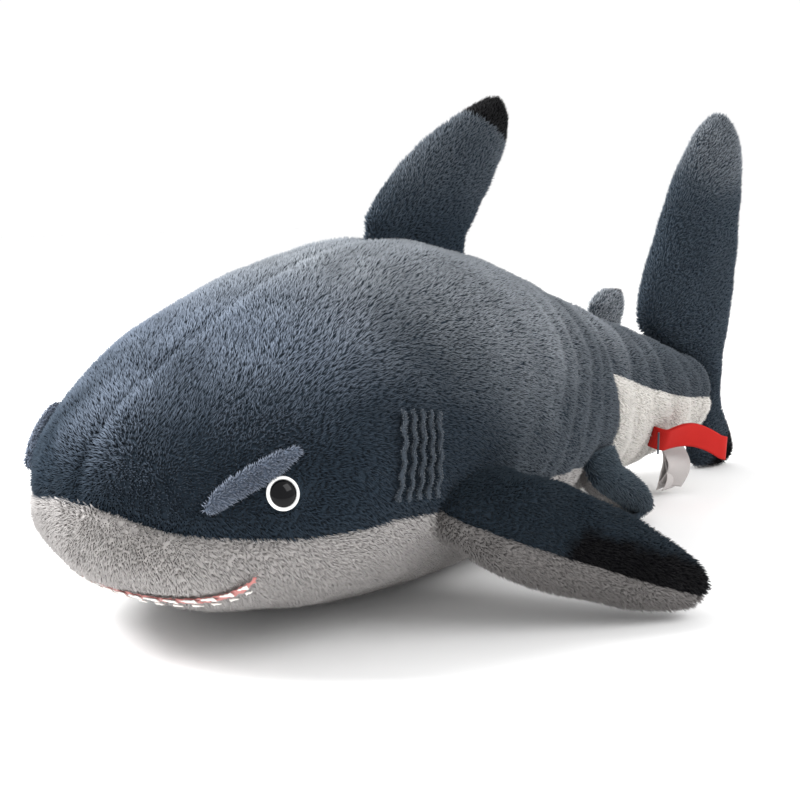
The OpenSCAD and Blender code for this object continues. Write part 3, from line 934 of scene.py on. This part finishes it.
def body_nap(p, normal):
    """The pile is brushed from the nose to the tail, and down the flanks."""
    s = station(p)[0]
    flow = back(s) - UP * 0.45
    return flow - normal * flow.dot(normal)


# %% Sew the body
# Where each bend starts and ends, from the nose
WAIST_FLEX = (waist_s - 0.050, 0.432)
TAIL_FLEX = (hinge_s - 0.030, hinge_s + 0.030)


def flex(piece, stretch):
    spine(stretch[0])
    spine(stretch[1])
    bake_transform(piece)


def body_panel(name, keep, material, stretch, seed):
    piece = object_from(panel_of(body_skin, keep), name)
    dress(piece, material, body_nap, body_pile, seed=seed)
    flex(piece, stretch)
    return piece


for name, side, seed in (("left", 1, 10), ("right", -1, 20)):
    piece = body_panel(
        "back_plush_" + name,
        lambda p: tail_level(p) < 0 and seam_level(p) > 0 and middle_level(p) * side > 0,
        slate_plush, WAIST_FLEX, seed,
    )
    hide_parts("back_cover_" + name)
    piece = body_panel(
        "tail_back_plush_" + name,
        lambda p: tail_level(p) > 0 and cream_level(p) > 0 and middle_level(p) * side > 0,
        slate_plush, TAIL_FLEX, seed + 5,
    )
    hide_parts("tail_back_cover_" + name)
belly = body_panel(
    "belly_plush", lambda p: tail_level(p) < 0 and seam_level(p) < 0,
    pale_plush, WAIST_FLEX, 30,
)
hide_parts("belly_cover", "trunk_filling")
cream = body_panel(
    "tail_cream_plush", lambda p: tail_level(p) > 0 and cream_level(p) < 0,
    cream_plush, TAIL_FLEX, 40,
)
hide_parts("tail_belly_cover", "tail_filling")

# %% [markdown]
# ## The fins
# Each fin is two panels, sewn round the edge, turned and stuffed. The frame gives its outline and its
# thickness at every distance from the body. The frame's fins are pinched at the root so that they can
# sway: the cloth ones run on into the body. A ball drawn out into the fin's shape has no open end, and
# its middle plane is the seam.

# %% Fin outline
FIN_SEGMENTS = 56
FIN_ROWS = 90
FIN_SINK = 0.015
FIN_GROOVE = 0.0014
FIN_SHOT = 0.3
EDGE_TRIM = 0.0008
ROOT_CAP = 0.04
ROOT_PINCH = 0.14
TIP_ROUND = 0.05


class Fin:
    """A fin's own axes: u along the root, v out to the tip, n through its thickness."""

    def __init__(self, covers, root, u, v, closed=False, rings=64):
        self.root = root
        self.u = u.normalized()
        self.v = (v - self.u * v.dot(self.u)).normalized()
        self.n = self.u.cross(self.v)
        self.covers = covers
        self.closed = closed
        self.rings = rings
        self.measure()

    def point(self, u, v, n):
        return self.root + self.u * u + self.v * v + self.n * n

    def shoot(self, tree, start, axis, way, missed):
        """Where a line meets the fin along one of its axes, when it is shot in from outside."""
        hit = tree.ray_cast(start, -axis * way, 2 * FIN_SHOT)[0]
        return (hit - self.root).dot(axis) if hit else missed

    def measure(self):
        """Measures, row by row from root to tip, where its two edges and its two faces are."""
        tree = tree_over(self.covers)
        corners = [v.co - self.root for name in self.covers for v in frame["nodes"][name].data.vertices]
        self.low = min(c.dot(self.v) for c in corners) + EDGE_TRIM
        self.high = max(c.dot(self.v) for c in corners) - EDGE_TRIM
        self.steps = np.linspace(self.low, self.high, FIN_ROWS)
        aside = 0.0006
        rows = []
        for v in self.steps:
            edges = [
                self.shoot(tree, self.point(FIN_SHOT * way, v, aside), self.u, way, 0.0) for way in (1, -1)
            ]
            centre = (edges[0] + edges[1]) / 2
            faces = [
                self.shoot(tree, self.point(centre, v, FIN_SHOT * way), self.n, way, 0.002 * way)
                for way in (1, -1)
            ]
            rows.append(edges + faces)
        self.rows = self.evened(np.array(rows))
        thick = self.rows[:, 2] - self.rows[:, 3]
        self.full = self.steps[np.argmax(thick > 0.94 * thick.max())]

    def evened(self, rows):
        """Evens the rows out, and carries the full chord down over the pinched root of an open fin."""
        for _ in range(EVENING_PASSES):
            rows[1:-1] = (rows[:-2] + 2 * rows[1:-1] + rows[2:]) / 4
        if not self.closed:
            chord = abs(rows[:, 0] - rows[:, 1])
            firm = np.argmax(chord > 0.97 * chord[:FIN_ROWS // 3].max())
            rows[:firm, :2] = rows[firm, :2]
        return rows

    def section(self, v):
        """At a distance from the body: the middle, half chord and half thickness, and the shift along n."""
        front, rear, top, under = [np.interp(v, self.steps, self.rows[:, k]) for k in range(4)]
        if not self.closed and v < self.full:
            share = smooth((v - self.low) / (self.full - self.low))
            wide = [np.interp(self.full, self.steps, self.rows[:, k]) for k in (2, 3)]
            top = wide[0] * (1 - ROOT_PINCH + ROOT_PINCH * share)
            under = wide[1] * (1 - ROOT_PINCH + ROOT_PINCH * share)
        return (front + rear) / 2, (front - rear) / 2, (top - under) / 2, (top + under) / 2

    def ring(self, share):
        """How far out a ring of the ball goes, and how wide it is there."""
        start = self.low if self.closed else self.low - FIN_SINK
        close = min(1.0, (1 - share) / TIP_ROUND) ** 0.5
        if self.closed:
            out = start + (self.high - start) * (1 - math.cos(math.pi * share)) / 2
            return out, close * min(1.0, share / TIP_ROUND) ** 0.5
        if share < ROOT_CAP:
            return start, share / ROOT_CAP
        run = (share - ROOT_CAP) / (1 - ROOT_CAP)
        return start + (self.high - start) * math.sin(run * math.pi / 2), close

    def level(self, p):
        """Distance from the fin's middle plane, where its seam is."""
        return (p - self.root).dot(self.n)

    def edge(self, share, across=0.93):
        """A point near the fin's front edge, a share of the way out to its tip."""
        out = self.low + (self.high - self.low) * share
        centre, chord, _, shift = self.section(out)
        forwards = 1 if self.u.x > 0 else -1
        return self.point(centre + forwards * chord * across, out, shift)

    def wrap(self):
        """A ball drawn out into the fin, with the groove of its seam."""
        bm = bmesh.new()
        bmesh.ops.create_uvsphere(bm, u_segments=FIN_SEGMENTS, v_segments=self.rings, radius=1)
        fix_order(bm)
        for v in bm.verts:
            share = math.asin(max(-1, min(1, v.co.z))) / math.pi + 0.5
            angle = math.atan2(v.co.y, v.co.x)
            out, wide = self.ring(share)
            centre, chord, thick, shift = self.section(out)
            v.co = self.point(
                centre + chord * wide * math.cos(angle), out, shift + thick * wide * math.sin(angle),
            )
        turn_outwards(bm)
        for v in bm.verts:
            lumps = noise.noise(v.co * 40) * 0.0012
            v.co += v.normal * (lumps - groove(self.level(v.co), 0.0045, FIN_GROOVE))
        cut_along(bm, self.level)
        return bm


def fin_on(covers, joint_name):
    """A fin whose root runs along its joint's axis."""
    joint = joints[joint_name]
    root = Vector(joint["pos_m"])
    outward = sum((middle(name) for name in covers), Vector()) / len(covers) - root
    return Fin(covers, root, Vector(joint["axis"]), outward)


# %% [markdown]
# ### Black tips
# The upper side of each pectoral fin has a black streak along its front edge, near the tip. The tail
# fin's lower lobe and the ridge of the second dorsal fin are black too. The black is sprayed on over the
# slate, so it fades out: a mask in the material, which is a distance from a line with a soft edge and
# some noise.

# %% Masks
def ink_along(start, end, width, fade):
    """A mask that is 1 within `width` of the line from start to end, and fades out over `fade`."""
    line = end - start

    def mask(finish):
        away = finish.vector_math("SUBTRACT", finish.place, tuple(start))
        run = finish.vector_math("DOT_PRODUCT", away, tuple(line / line.length_squared), out="Value")
        share = run.clamped()
        foot = finish.node("ShaderNodeCombineXYZ", X=share * line.x, Y=share * line.y, Z=share * line.z)
        gap = finish.vector_math("DISTANCE", away, foot, out="Value")
        rough = (finish.noise(160.0) - 0.5) * fade
        return finish.ramp(gap + rough, width + fade, width)

    return mask


# %% Paired fins
INK_PROUD = 0.004
INK_WIDTH = 0.010


def fin_nap(fin):
    """The pile is brushed out to the tip and to the rear."""
    def nap(p, normal):
        flow = fin.v * 0.8 - fin.u * 0.5 * (1 if fin.u.x > 0 else -1)
        return flow - normal * flow.dot(normal)

    return nap


def sew_fin(name, bm, keep, material, nap, slot, seed):
    """One panel of a fin, in pile cloth."""
    piece = object_from(panel_of(bm, keep), name)
    dress(piece, material, nap, seed=seed)
    return piece


def front_streak(fin, upwards):
    """The black streak on the outer half of a fin's front edge, on its upper side."""
    proud = fin.n * (upwards * INK_PROUD)
    return ink_along(fin.edge(0.55) + proud, fin.edge(0.99) + proud, INK_WIDTH, INK_WIDTH)


def paired_fin(kind, side, seed, tip, inked):
    covers = [f"{kind}_top_{side}", f"{kind}_underside_{side}"]
    fin = fin_on(covers, f"{kind}_flap_{side}")
    upwards = 1 if fin.n.z > 0 else -1
    ink = front_streak(fin, upwards) if inked else None
    # The underside's cloth is the pale cloth painted darker, as painted shade
    under_cloth = plush(f"{kind} underside plush {side}", PALE_PAINTED_SHADE_FOOT, PALE_PAINTED_SHADE_TIP)
    top_cloth = plush(f"{kind} top plush {side}", SLATE_FOOT, tip, black=ink)
    bm = fin.wrap()
    for part, way, cloth, slot in (
        ("top", upwards, top_cloth, "slate_plush"), ("underside", -upwards, under_cloth, "pale_plush"),
    ):
        piece = sew_fin(
            f"{kind}_{part}_plush_{side}", bm, lambda p: fin.level(p) * way > 0,
            cloth, fin_nap(fin), slot, seed + way,
        )
        fin.point(0, -0.002, 0)
        fin.point(0, 0.024, 0)
        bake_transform(piece)
        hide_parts(f"{kind}_{part}_{side}")
        if part == "underside":
            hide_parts(f"{kind}_filling_{side}")


for side, seed in (("left", 50), ("right", 60)):
    paired_fin("pectoral", side, seed, DARK_TIP, inked=True)
    paired_fin("pelvic", side, seed + 20, FLANK_TIP, inked=False)

# %% [markdown]
# ### Upright fins
# The dorsal fin's black tip is a piece of its own, sewn on along a slanting seam. The small second dorsal
# fin is a soft knob. The tail fin is upright and has two lobes: a long one above and a short one below.
# One function sews the left and right halves of all three.

# %% Halves of an upright fin
def fin_halves(fin, prefix, bodies, material, slot, nodes, seed, level=None):
    """The left and right panels of an upright fin."""
    bm = fin.wrap()
    if level:
        cut_along(bm, level)
    for name, way in (("left", 1), ("right", -1)):
        leftwards = way if fin.n.y > 0 else -way
        piece = sew_fin(
            f"{prefix}_plush_{name}", bm,
            lambda p: fin.level(p) * leftwards > 0 and (not level or level(p) < 0),
            material, fin_nap(fin), slot, seed + way,
        )
        if len(bodies) == 2:
            fin.point(0, -0.002, 0)
            fin.point(0, 0.02, 0)
            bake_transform(piece)
        else:
            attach(piece, bodies[0])
        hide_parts(f"{nodes}_{name}")
        if name == "left":
            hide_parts(nodes.replace("cover", "filling"))
    return bm


# %% Dorsal fin
TIP_SLANT = 0.22
# The sewn fin stands a little further forward than the frame's, and is a little slimmer
FRONT_SHIFT = 0.0025
REAR_SHIFT = 0.0045
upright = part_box("dorsal_cover_left")
tip_low, tip_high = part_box("dorsal_tip")
dorsal = fin_on(["dorsal_cover_left", "dorsal_cover_right", "dorsal_tip"], "dorsal_sway")
# Its rows start with the edge that its own axis points to, which may be the front or the rear one
forwards, front, rear = (1, 0, 1) if dorsal.u.x > 0 else (-1, 1, 0)
dorsal.rows[:, front] += forwards * FRONT_SHIFT
dorsal.rows[:, rear] += forwards * REAR_SHIFT
print("the dorsal fin stands", round(dorsal.high, 3), "high and is at its fullest at", round(dorsal.full, 3))


def slant_level(p):
    """Height above the slanting seam of the black tip."""
    slope = (upright[1].z - tip_low.z) / (tip_high.x - upright[0].x) + TIP_SLANT
    return p.z - upright[1].z - (p.x - tip_high.x) * slope


# The fin's upper part turns to the slate cloth's top colour: partly dye and partly painted light from above
dorsal_cloth = plush("dorsal plush", SLATE_FOOT, SLATE_TIP, back=SLATE_BACK_DYE_AND_PAINTED_LIGHT, back_from=0.20, back_to=0.46)
black_plush = plush("black plush", BLACK_FOOT, BLACK_TIP)
dorsal_skin = fin_halves(
    dorsal, "dorsal", ("trunk", "dorsal_fin"), dorsal_cloth, "slate_plush", "dorsal_cover", 90, slant_level,
)
tip = sew_fin(
    "dorsal_tip_plush", dorsal_skin, lambda p: slant_level(p) > 0,
    black_plush, fin_nap(dorsal), "black_plush", 93,
)
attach(tip, "dorsal_fin")
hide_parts("dorsal_tip")
dorsal_skin.free()

# %% Second dorsal fin
second = fin_on(["second_dorsal_cover_left", "second_dorsal_cover_right"], "second_dorsal_sway")
ridge = ink_along(second.edge(0.98, 0.6), second.edge(0.98, -0.9), 0.002, 0.004)
# The small fin's tips are the slate cloth's top colour all over: partly dye and partly painted light from
# above
second_cloth = plush("second dorsal plush", SLATE_FOOT, SLATE_BACK_DYE_AND_PAINTED_LIGHT, black=ridge)
second_skin = fin_halves(
    second, "second_dorsal", ("tail_stem", "second_dorsal_fin"),
    second_cloth, "black_plush", "second_dorsal_cover", 96,
)
second_skin.free()

# %% Tail fin
TAIL_FIN_AT = 0.647
FRONT_LAP = 0.011
tail_fin = Fin(
    ["tail_fin_cover_left", "tail_fin_cover_right"], spine(TAIL_FIN_AT), back(TAIL_FIN_AT), UP,
    closed=True, rings=96,
)
# The lower front edge lies close on the body's back
tail_front = tail_fin.rows[:, 1]
lapped = np.interp(tail_fin.steps + FRONT_LAP, tail_fin.steps, tail_front)
tail_fin.rows[:, 1] = np.minimum(tail_front, lapped)
lower_lobe = ink_along(tail_fin.edge(0.02, -0.2), tail_fin.edge(0.075, -0.9), 0.012, 0.012)
# The tail fin's upper part turns to the slate cloth's top colour: partly dye and partly painted light from
# above
tail_cloth = plush(
    "tail plush", SLATE_FOOT, TAIL_TIP, back=SLATE_BACK_DYE_AND_PAINTED_LIGHT, back_from=0.24, back_to=0.33, black=lower_lobe,
)
tail_skin = fin_halves(tail_fin, "tail_fin", ("tail_fin",), tail_cloth, "slate_plush", "tail_fin_cover", 100)
tail_skin.free()

# %% [markdown]
# ## The face
# The brows are padded strips that stand on the head and give it its frown. The gill tucks are narrow
# ridges where the cloth is pinched and stitched. Both have short pile. The mouth is lined with soft
# cloth, and the teeth are felt. The frame has all of their shapes, but faceted ones: a voxel remesh and a
# little smoothing round them off.

# %% Remade pieces
def remake(node, name, voxel, passes):
    """A smooth closed copy of a CAD node's shape."""
    bm = bmesh.new()
    bm.from_mesh(frame["nodes"][node].data)
    bmesh.ops.remove_doubles(bm, verts=bm.verts, dist=0.00001)
    piece = object_from(bm, name)
    remesh = piece.modifiers.new("even mesh", "REMESH")
    remesh.mode = "VOXEL"
    remesh.voxel_size = voxel
    soften = piece.modifiers.new("soften", "SMOOTH")
    soften.factor = 0.5
    soften.iterations = passes
    apply_modifiers(piece)
    piece.data.shade_smooth()
    return piece


def settle(piece, body, node, slot):
    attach(piece, body)
    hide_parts(node)


# %% Brows and gill tucks
BROW_SHARE = 0.90
BROW_PROUD = 0.0006
BROW_PILE = {"length": 0.0028, "width": 0.0008, "density": 1100000}
TUCK_SLIM = 0.0005
TUCK_SWING = 0.0011
TUCK_PILE = {"length": 0.0013, "width": 0.0007, "density": 900000}
brow_cloth = plush("brow plush", rgb(0.080, 0.100, 0.135), rgb(0.205, 0.235, 0.295))
tuck_cloth = plush("tuck plush", rgb(0.045, 0.056, 0.070), rgb(0.150, 0.168, 0.190))


def tuck_wave(p):
    """The stitching pulls each ridge from side to side as it runs down the flank."""
    return Vector((math.sin(p.z * 560) * TUCK_SWING, 0, 0))


for side, seed in (("left", 110), ("right", 114)):
    brow = remake("brow_" + side, "brow_plush_" + side, 0.0014, 12)
    centre = middle("brow_" + side)
    for v in brow.data.vertices:
        v.co = centre + (v.co - centre) * BROW_SHARE + v.normal * BROW_PROUD
    dress(brow, brow_cloth, body_nap, cloth=0, seed=seed, **BROW_PILE)
    settle(brow, "trunk", "brow_" + side, "slate_plush")
    tucks = remake("gill_tucks_" + side, "gill_tuck_plush_" + side, 0.0009, 3)
    for v in tucks.data.vertices:
        v.co += tuck_wave(v.co) - v.normal * TUCK_SLIM
    dress(tucks, tuck_cloth, body_nap, cloth=0, seed=seed + 2, **TUCK_PILE)
    settle(tucks, "trunk", "gill_tucks_" + side, "slate_plush")


# %% Mouth and teeth
def felt(name, low, high, grain, depth):
    """Pressed or brushed cloth: a mottled colour and a fine fibrous surface."""
    finish = Finish(name)
    fibres = finish.noise(grain, detail=4.0, roughness=0.7)
    patches = finish.noise(60.0)
    colour = finish.mix((0.5 * fibres + 0.5 * patches).clamped(), low, high)
    return finish.set(
        Base_Color=colour, Roughness=0.9, Normal=finish.bump(fibres, depth), Sheen_Weight=0.3,
        Specular_IOR_Level=0.2,
    )


mouth_felt = felt("mouth cloth", rgb(0.40, 0.12, 0.11), rgb(0.60, 0.25, 0.23), 900.0, 0.0006)
tooth_felt = felt("tooth felt", rgb(0.72, 0.70, 0.66), rgb(0.86, 0.85, 0.82), 700.0, 0.0005)
for node, name, material, slot, voxel in (
    ("mouth_lining", "mouth_cloth", mouth_felt, "mouth_cloth", 0.0012),
    ("upper_teeth", "upper_felt_teeth", tooth_felt, "tooth_felt", 0.0008),
    ("lower_teeth", "lower_felt_teeth", tooth_felt, "tooth_felt", 0.0008),
):
    piece = remake(node, name, voxel, 2)
    piece.data.materials.append(material)
    settle(piece, "trunk", node, slot)

# %% [markdown]
# ## The eyes
# Each eye is two mouldings: a white ring with a rounded lip, and a glossy black dome that sits in it. The
# ring's shank goes through the cloth to a washer inside. Both are turned shapes, so a short profile and
# Spin make them in one step, rounder than a bevelled cylinder.

# %% Lathe
LATHE_STEPS = 72


def lathe(name, profile, centre, axis):
    """Turns a profile of (radius, height) points, from the middle out and back, round an axis."""
    bm = bmesh.new()
    verts = [bm.verts.new((r, 0, h)) for r, h in profile]
    edges = [bm.edges.new(pair) for pair in zip(verts, verts[1:])]
    bmesh.ops.spin(
        bm, geom=verts + edges, cent=(0, 0, 0), axis=(0, 0, 1), angle=2 * math.pi, steps=LATHE_STEPS,
        use_merge=True,
    )
    bmesh.ops.remove_doubles(bm, verts=bm.verts, dist=0.00001)
    turn_outwards(bm)
    turn = Vector((0, 0, 1)).rotation_difference(axis).to_matrix().to_4x4()
    bmesh.ops.transform(bm, matrix=Matrix.Translation(centre) @ turn, verts=bm.verts)
    return object_from(bm, name)


def flat_axis(node):
    """The direction that a flat round node faces, away from the middle of the body."""
    points = np.array([v.co for v in frame["nodes"][node].data.vertices])
    spread = np.linalg.svd(points - points.mean(0), full_matrices=False)[2]
    axis = Vector(spread[2])
    return axis if axis.y * middle(node).y > 0 else -axis


# %% Eyes
RING_R = 0.009
HOLE_R = 0.0070
DOME_R = 0.0072
RING_RISE = 0.0024
DOME_RISE = 0.0034
RING_BEVEL = 0.0008
RING_FLOOR = 0.0010
DOME_FLOOR = 0.0011
DOME_SHOULDER = 0.0016
EYE_TURN = 0.27
EYE_SINK = 0.0030


def gloss(name, colour, rough, coat, specular=0.5):
    finish = Finish(name)
    haze = finish.noise(300.0)
    return finish.set(
        Base_Color=colour, Roughness=rough + 0.05 * haze, Coat_Weight=coat, Coat_Roughness=0.04, IOR=1.45,
        Specular_IOR_Level=specular,
    )


eye_white = gloss("white eye plastic", rgb(0.86, 0.86, 0.85), 0.22, 0.4)
eye_black = gloss("black eye plastic", rgb(0.002, 0.002, 0.003), 0.03, 0.0, specular=0.2)


def arc(centre_r, centre_h, radius_r, radius_h, start, end, steps=10):
    """Points on a stretch of an ellipse, from one angle to another in degrees."""
    turns = [math.radians(start + (end - start) * i / steps) for i in range(steps + 1)]
    return [(centre_r + radius_r * math.cos(a), centre_h + radius_h * math.sin(a)) for a in turns]


def ring_profile():
    lip = (RING_R - HOLE_R) / 2
    edge = arc(RING_R - lip, RING_RISE - lip * 0.8, lip, lip * 0.8, -30, 180)
    return [(0, 0), (RING_R - RING_BEVEL, 0)] + edge + [(HOLE_R, RING_FLOOR), (0, RING_FLOOR)]


def dome_profile():
    top = arc(0, DOME_SHOULDER, DOME_R, DOME_RISE, 0, 90, 14)[1:]
    return [(0, DOME_FLOOR), (DOME_R, DOME_FLOOR), (DOME_R, DOME_SHOULDER)] + top


def eye(side):
    axis = (flat_axis("eye_washer_" + side) + back(0) * EYE_TURN).normalized()
    base = middle("pupil_" + side) - axis * EYE_SINK
    ring = lathe("eye_ring_" + side, ring_profile(), base, axis)
    ring.data.materials.append(eye_white)
    dome = lathe("pupil_dome_" + side, dome_profile(), base, axis)
    dome.data.materials.append(eye_black)
    for piece, node, slot in (
        (ring, "eye_" + side, "white_eye_plastic"), (dome, "pupil_" + side, "black_eye_plastic"),
    ):
        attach(piece, "trunk")
        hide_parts(node)
    print("eye", side, "is", round(RING_R * 2000), "mm across, with a dome of", round(DOME_R * 2000, 1), "mm")


for side in ("left", "right"):
    eye(side)

# %% [markdown]
# ## The labels
# The red label is a woven tape, folded in two and sewn in by both ends, so it stands out as a loop and
# curls up in the middle. The care label is three leaves of white satin that hang from one line of
# stitches. Both are bare. A strip that follows a chosen line keeps its flat length, which a cloth
# simulation would stretch a little.

# %% Tape
TAPE_THICK = 0.00035


def ribbon(name, points, across, width, columns, material):
    """A strip of cloth: points is its middle line, across the direction of its width at each point."""
    bm = bmesh.new()
    rows = []
    for p, side in zip(points, across):
        steps = [(k / columns - 0.5) * width for k in range(columns + 1)]
        rows.append([bm.verts.new(p + side * w) for w in steps])
    for a, b in zip(rows, rows[1:]):
        for k in range(columns):
            bm.faces.new((a[k], a[k + 1], b[k + 1], b[k]))
    layer = bm.loops.layers.uv.new("weave")
    for i, face in enumerate(bm.faces):
        for loop, (du, dv) in zip(face.loops, ((0, 0), (1, 0), (1, 1), (0, 1))):
            loop[layer].uv = ((i % columns + du) / columns, (i // columns + dv) / (len(rows) - 1))
    piece = object_from(bm, name)
    thicken(piece, TAPE_THICK, 0)
    piece.data.materials.append(material)
    piece.data.shade_smooth()
    return piece


def weave(name, low, high, threads_along, threads_across, rough, sheen):
    """Tape woven from threads both ways, in the tape's own UV map."""
    finish = Finish(name)
    place = finish.node("ShaderNodeUVMap", settings={"uv_map": "weave"})
    run = finish.node("ShaderNodeSeparateXYZ", out="Y", Vector=place)
    across = finish.node("ShaderNodeSeparateXYZ", out="X", Vector=place)
    lengthways = run.math("SINE", run * (threads_along * 2 * math.pi))
    crossways = across.math("SINE", across * (threads_across * 2 * math.pi))
    cloth = (0.5 + 0.25 * lengthways + 0.25 * crossways).clamped()
    wear = finish.noise(90.0)
    colour = finish.mix((0.6 * cloth + 0.4 * wear).clamped(), low, high)
    return finish.set(
        Base_Color=colour, Roughness=rough, Normal=finish.bump(cloth, 0.0002, 0.5), Sheen_Weight=sheen,
        Specular_IOR_Level=0.2,
    )


red_tape = weave("red woven tape", rgb(0.36, 0.006, 0.005), rgb(0.56, 0.018, 0.012), 170, 26, 0.75, 0.03)
satin = weave("white satin tape", rgb(0.40, 0.37, 0.36), rgb(0.54, 0.51, 0.50), 60, 34, 0.50, 0.10)

# %% Woven label
WOVEN_LENGTH = 0.067
WOVEN_WIDTH = 0.020
LOOP_GAP = 0.0011
LOOP_STEPS = 44


def inwards(p):
    """The direction from a point beside the body to the middle of the body."""
    return (spine(station(p)[0]) + UP * 0.085 - p).normalized()


def loop_line(root, out):
    """The label's middle line, out on its upper layer and back on the other, and its width at each point."""
    points, across = [], []
    for layer, order in ((1, range(LOOP_STEPS + 1)), (-1, range(LOOP_STEPS - 1, -1, -1))):
        for i in order:
            t = i / LOOP_STEPS
            rise = 0.007 * math.sin(math.pi * min(1.0, t * 1.1)) - 0.009 * t * t
            twist = math.radians(22 * (1 - smooth(t * 1.3)) + 4)
            tuck = inwards(root) * (0.010 * max(0.0, 1 - t * 9) ** 2)
            middle_line = root + out * (0.001 + WOVEN_LENGTH * 0.97 * t) + UP * rise + tuck
            side = (UP * math.cos(twist) + out.cross(UP) * math.sin(twist)).normalized()
            face = out.cross(side).normalized()
            gap = LOOP_GAP * min(1.0, math.sqrt(max(0.0, (1 - t) * 14))) * min(1.0, 0.3 + t * 6)
            points.append(middle_line + face * gap * layer)
            across.append(side)
    return points, across


def line_length(points):
    return sum((b - a).length for a, b in zip(points, points[1:]))


def woven_label():
    root = Vector(joints["woven_label_swing"]["pos_m"])
    low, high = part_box("woven_label")
    out = Vector((low.x - high.x, high.y - low.y, 0)).normalized()
    points, across = loop_line(root, out)
    label = ribbon("woven_label_tape", points, across, WOVEN_WIDTH, 10, red_tape)
    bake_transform(label)
    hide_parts("woven_label")
    length = line_length(points)
    print("woven label, flat:", WOVEN_WIDTH, "by", round(length, 3))


woven_label()

# %% Care label
LEAF_WIDTH = 0.0245
LEAF_STEPS = 26
LEAF_GAP = 0.0008
LEAF_FLOOR = 0.001


def leaf_line(number, start, axis, outward, turn, reach, lean):
    """A leaf's middle line from the stitches down, and the direction of its width at each point."""
    points, across = [], []
    for i in range(LEAF_STEPS + 1):
        t = i / LEAF_STEPS
        out = lean * math.sin(t * math.pi * 0.75) - 0.006 * t * t
        down = reach * (t - 0.048 * math.sin(math.pi * t))
        side = (axis + outward * (turn * t) + UP * (0.22 * math.sin(t * 2.2 + number))).normalized()
        ripple = 0.0012 * math.sin(7 * t + number * 2.1)
        tuck = inwards(start) * (0.008 * max(0.0, 1 - t * 7) ** 2)
        points.append(start + outward * (out + ripple) - UP * down + tuck)
        across.append(side)
    return points, across


def care_leaf(number, turn, reach, lean):
    """One leaf: `turn` swings its end round, `reach` is its length and `lean` how far it stands out."""
    joint = joints["care_label_lift"]
    axis = Vector(joint["axis"])
    outward = UP.cross(axis)
    outward = outward if outward.y > 0 else -outward
    axis = axis if axis.x < 0 else -axis
    root = Vector(joint["pos_m"])
    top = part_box("care_label")[1].z - LEAF_GAP / 2
    start = Vector((root.x, root.y, top)) + outward * (LEAF_GAP / 2 + LEAF_GAP * number)
    points, across = leaf_line(number, start, axis, outward, turn, reach, lean)
    leaf = ribbon(f"care_leaf_{number + 1}", points, across, LEAF_WIDTH, 12, satin)
    for v in leaf.data.vertices:
        v.co.z = max(v.co.z, LEAF_FLOOR)
    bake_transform(leaf)
    length = line_length(points)
    print("care leaf", number + 1, "flat:", LEAF_WIDTH, "by", round(length, 3))
    if number == 0:
        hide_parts("care_label")


# Each leaf's turn, reach and lean
LEAVES = [(0.10, 0.038, 0.0060), (-0.18, 0.040, 0.0085), (0.30, 0.037, 0.0110)]
for number, (turn, reach, lean) in enumerate(LEAVES):
    care_leaf(number, turn, reach, lean)

# %% [markdown]
# ## Thread and washers
# The hand stitches and the washers keep the frame's own shapes: they are small, and exact already. They
# only need a material.

# %% Small parts
def thread():
    finish = Finish("sewing thread")
    twist = finish.noise(500.0, detail=3.0, stretch=(1, 1, 3))
    colour = finish.mix(twist, rgb(0.022, 0.030, 0.042), rgb(0.060, 0.076, 0.098))
    return finish.set(Base_Color=colour, Roughness=0.8, Normal=finish.bump(twist, 0.0002), Sheen_Weight=0.2)


sewing_thread = thread()
washer_plastic = gloss("washer plastic", rgb(0.80, 0.80, 0.77), 0.45, 0.0)
for name, node in frame["nodes"].items():
    if node.hide_render:
        continue
    stitched = "stitch" in name
    node.data.materials.clear()
    node.data.materials.append(sewing_thread if stitched else washer_plastic)
    print("kept as built:", name)

# %% [markdown]
# ## The studio
# The floor and the air are white, and one broad light stands high on the shark's right front, so the
# flank that faces the camera is in soft shade. A weaker light, high behind its left flank, opens that
# shade a little and puts a small reflection on the near eye.

# %% Floor and lights
def studio():
    bm = bmesh.new()
    bmesh.ops.create_grid(bm, x_segments=1, y_segments=1, size=6)
    floor = object_from(bm, "floor")
    finish = Finish("floor")
    paper = finish.mix(finish.noise(2.0), rgb(0.98, 0.98, 0.98), rgb(0.99, 0.99, 0.99))
    finish.set(Base_Color=paper, Roughness=0.9)
    floor.data.materials.append(finish.material)
    floor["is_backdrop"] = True
    world = bpy.data.worlds.new("studio")
    world.use_nodes = True
    world.node_tree.nodes["Background"].inputs["Color"].default_value = (1, 1, 1, 1)
    world.node_tree.nodes["Background"].inputs["Strength"].default_value = 1.02
    bpy.context.scene.world = world
    bpy.context.scene.view_settings.view_transform = "Standard"


def area_light(name, place, aim, size, power):
    light = bpy.data.objects.new(name, bpy.data.lights.new(name, "AREA"))
    bpy.context.scene.collection.objects.link(light)
    light.data.size = size
    light.data.energy = power
    light.location = place
    light.rotation_euler = (Vector(aim) - Vector(place)).to_track_quat("-Z", "Y").to_euler()
    light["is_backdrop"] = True


studio()
area_light("key light", (0.75, -0.95, 1.35), (0, 0, 0.1), 0.9, 52)
area_light("fill light", (-0.37, 1.48, 1.28), (0.1, 0.1, 0.1), 1.0, 14)

# %% [markdown]
# ## Size
# The frame's box and the finished toy's box are written side by side. Pile may stand a little proud of
# the frame.

# %% Compare the boxes and finish
visual_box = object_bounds()
for axis in range(3):
    sizes = [round(box[1][axis] - box[0][axis], 4) for box in (cad_box, visual_box)]
    print("xyz"[axis], "frame", sizes[0], "finished", sizes[1])
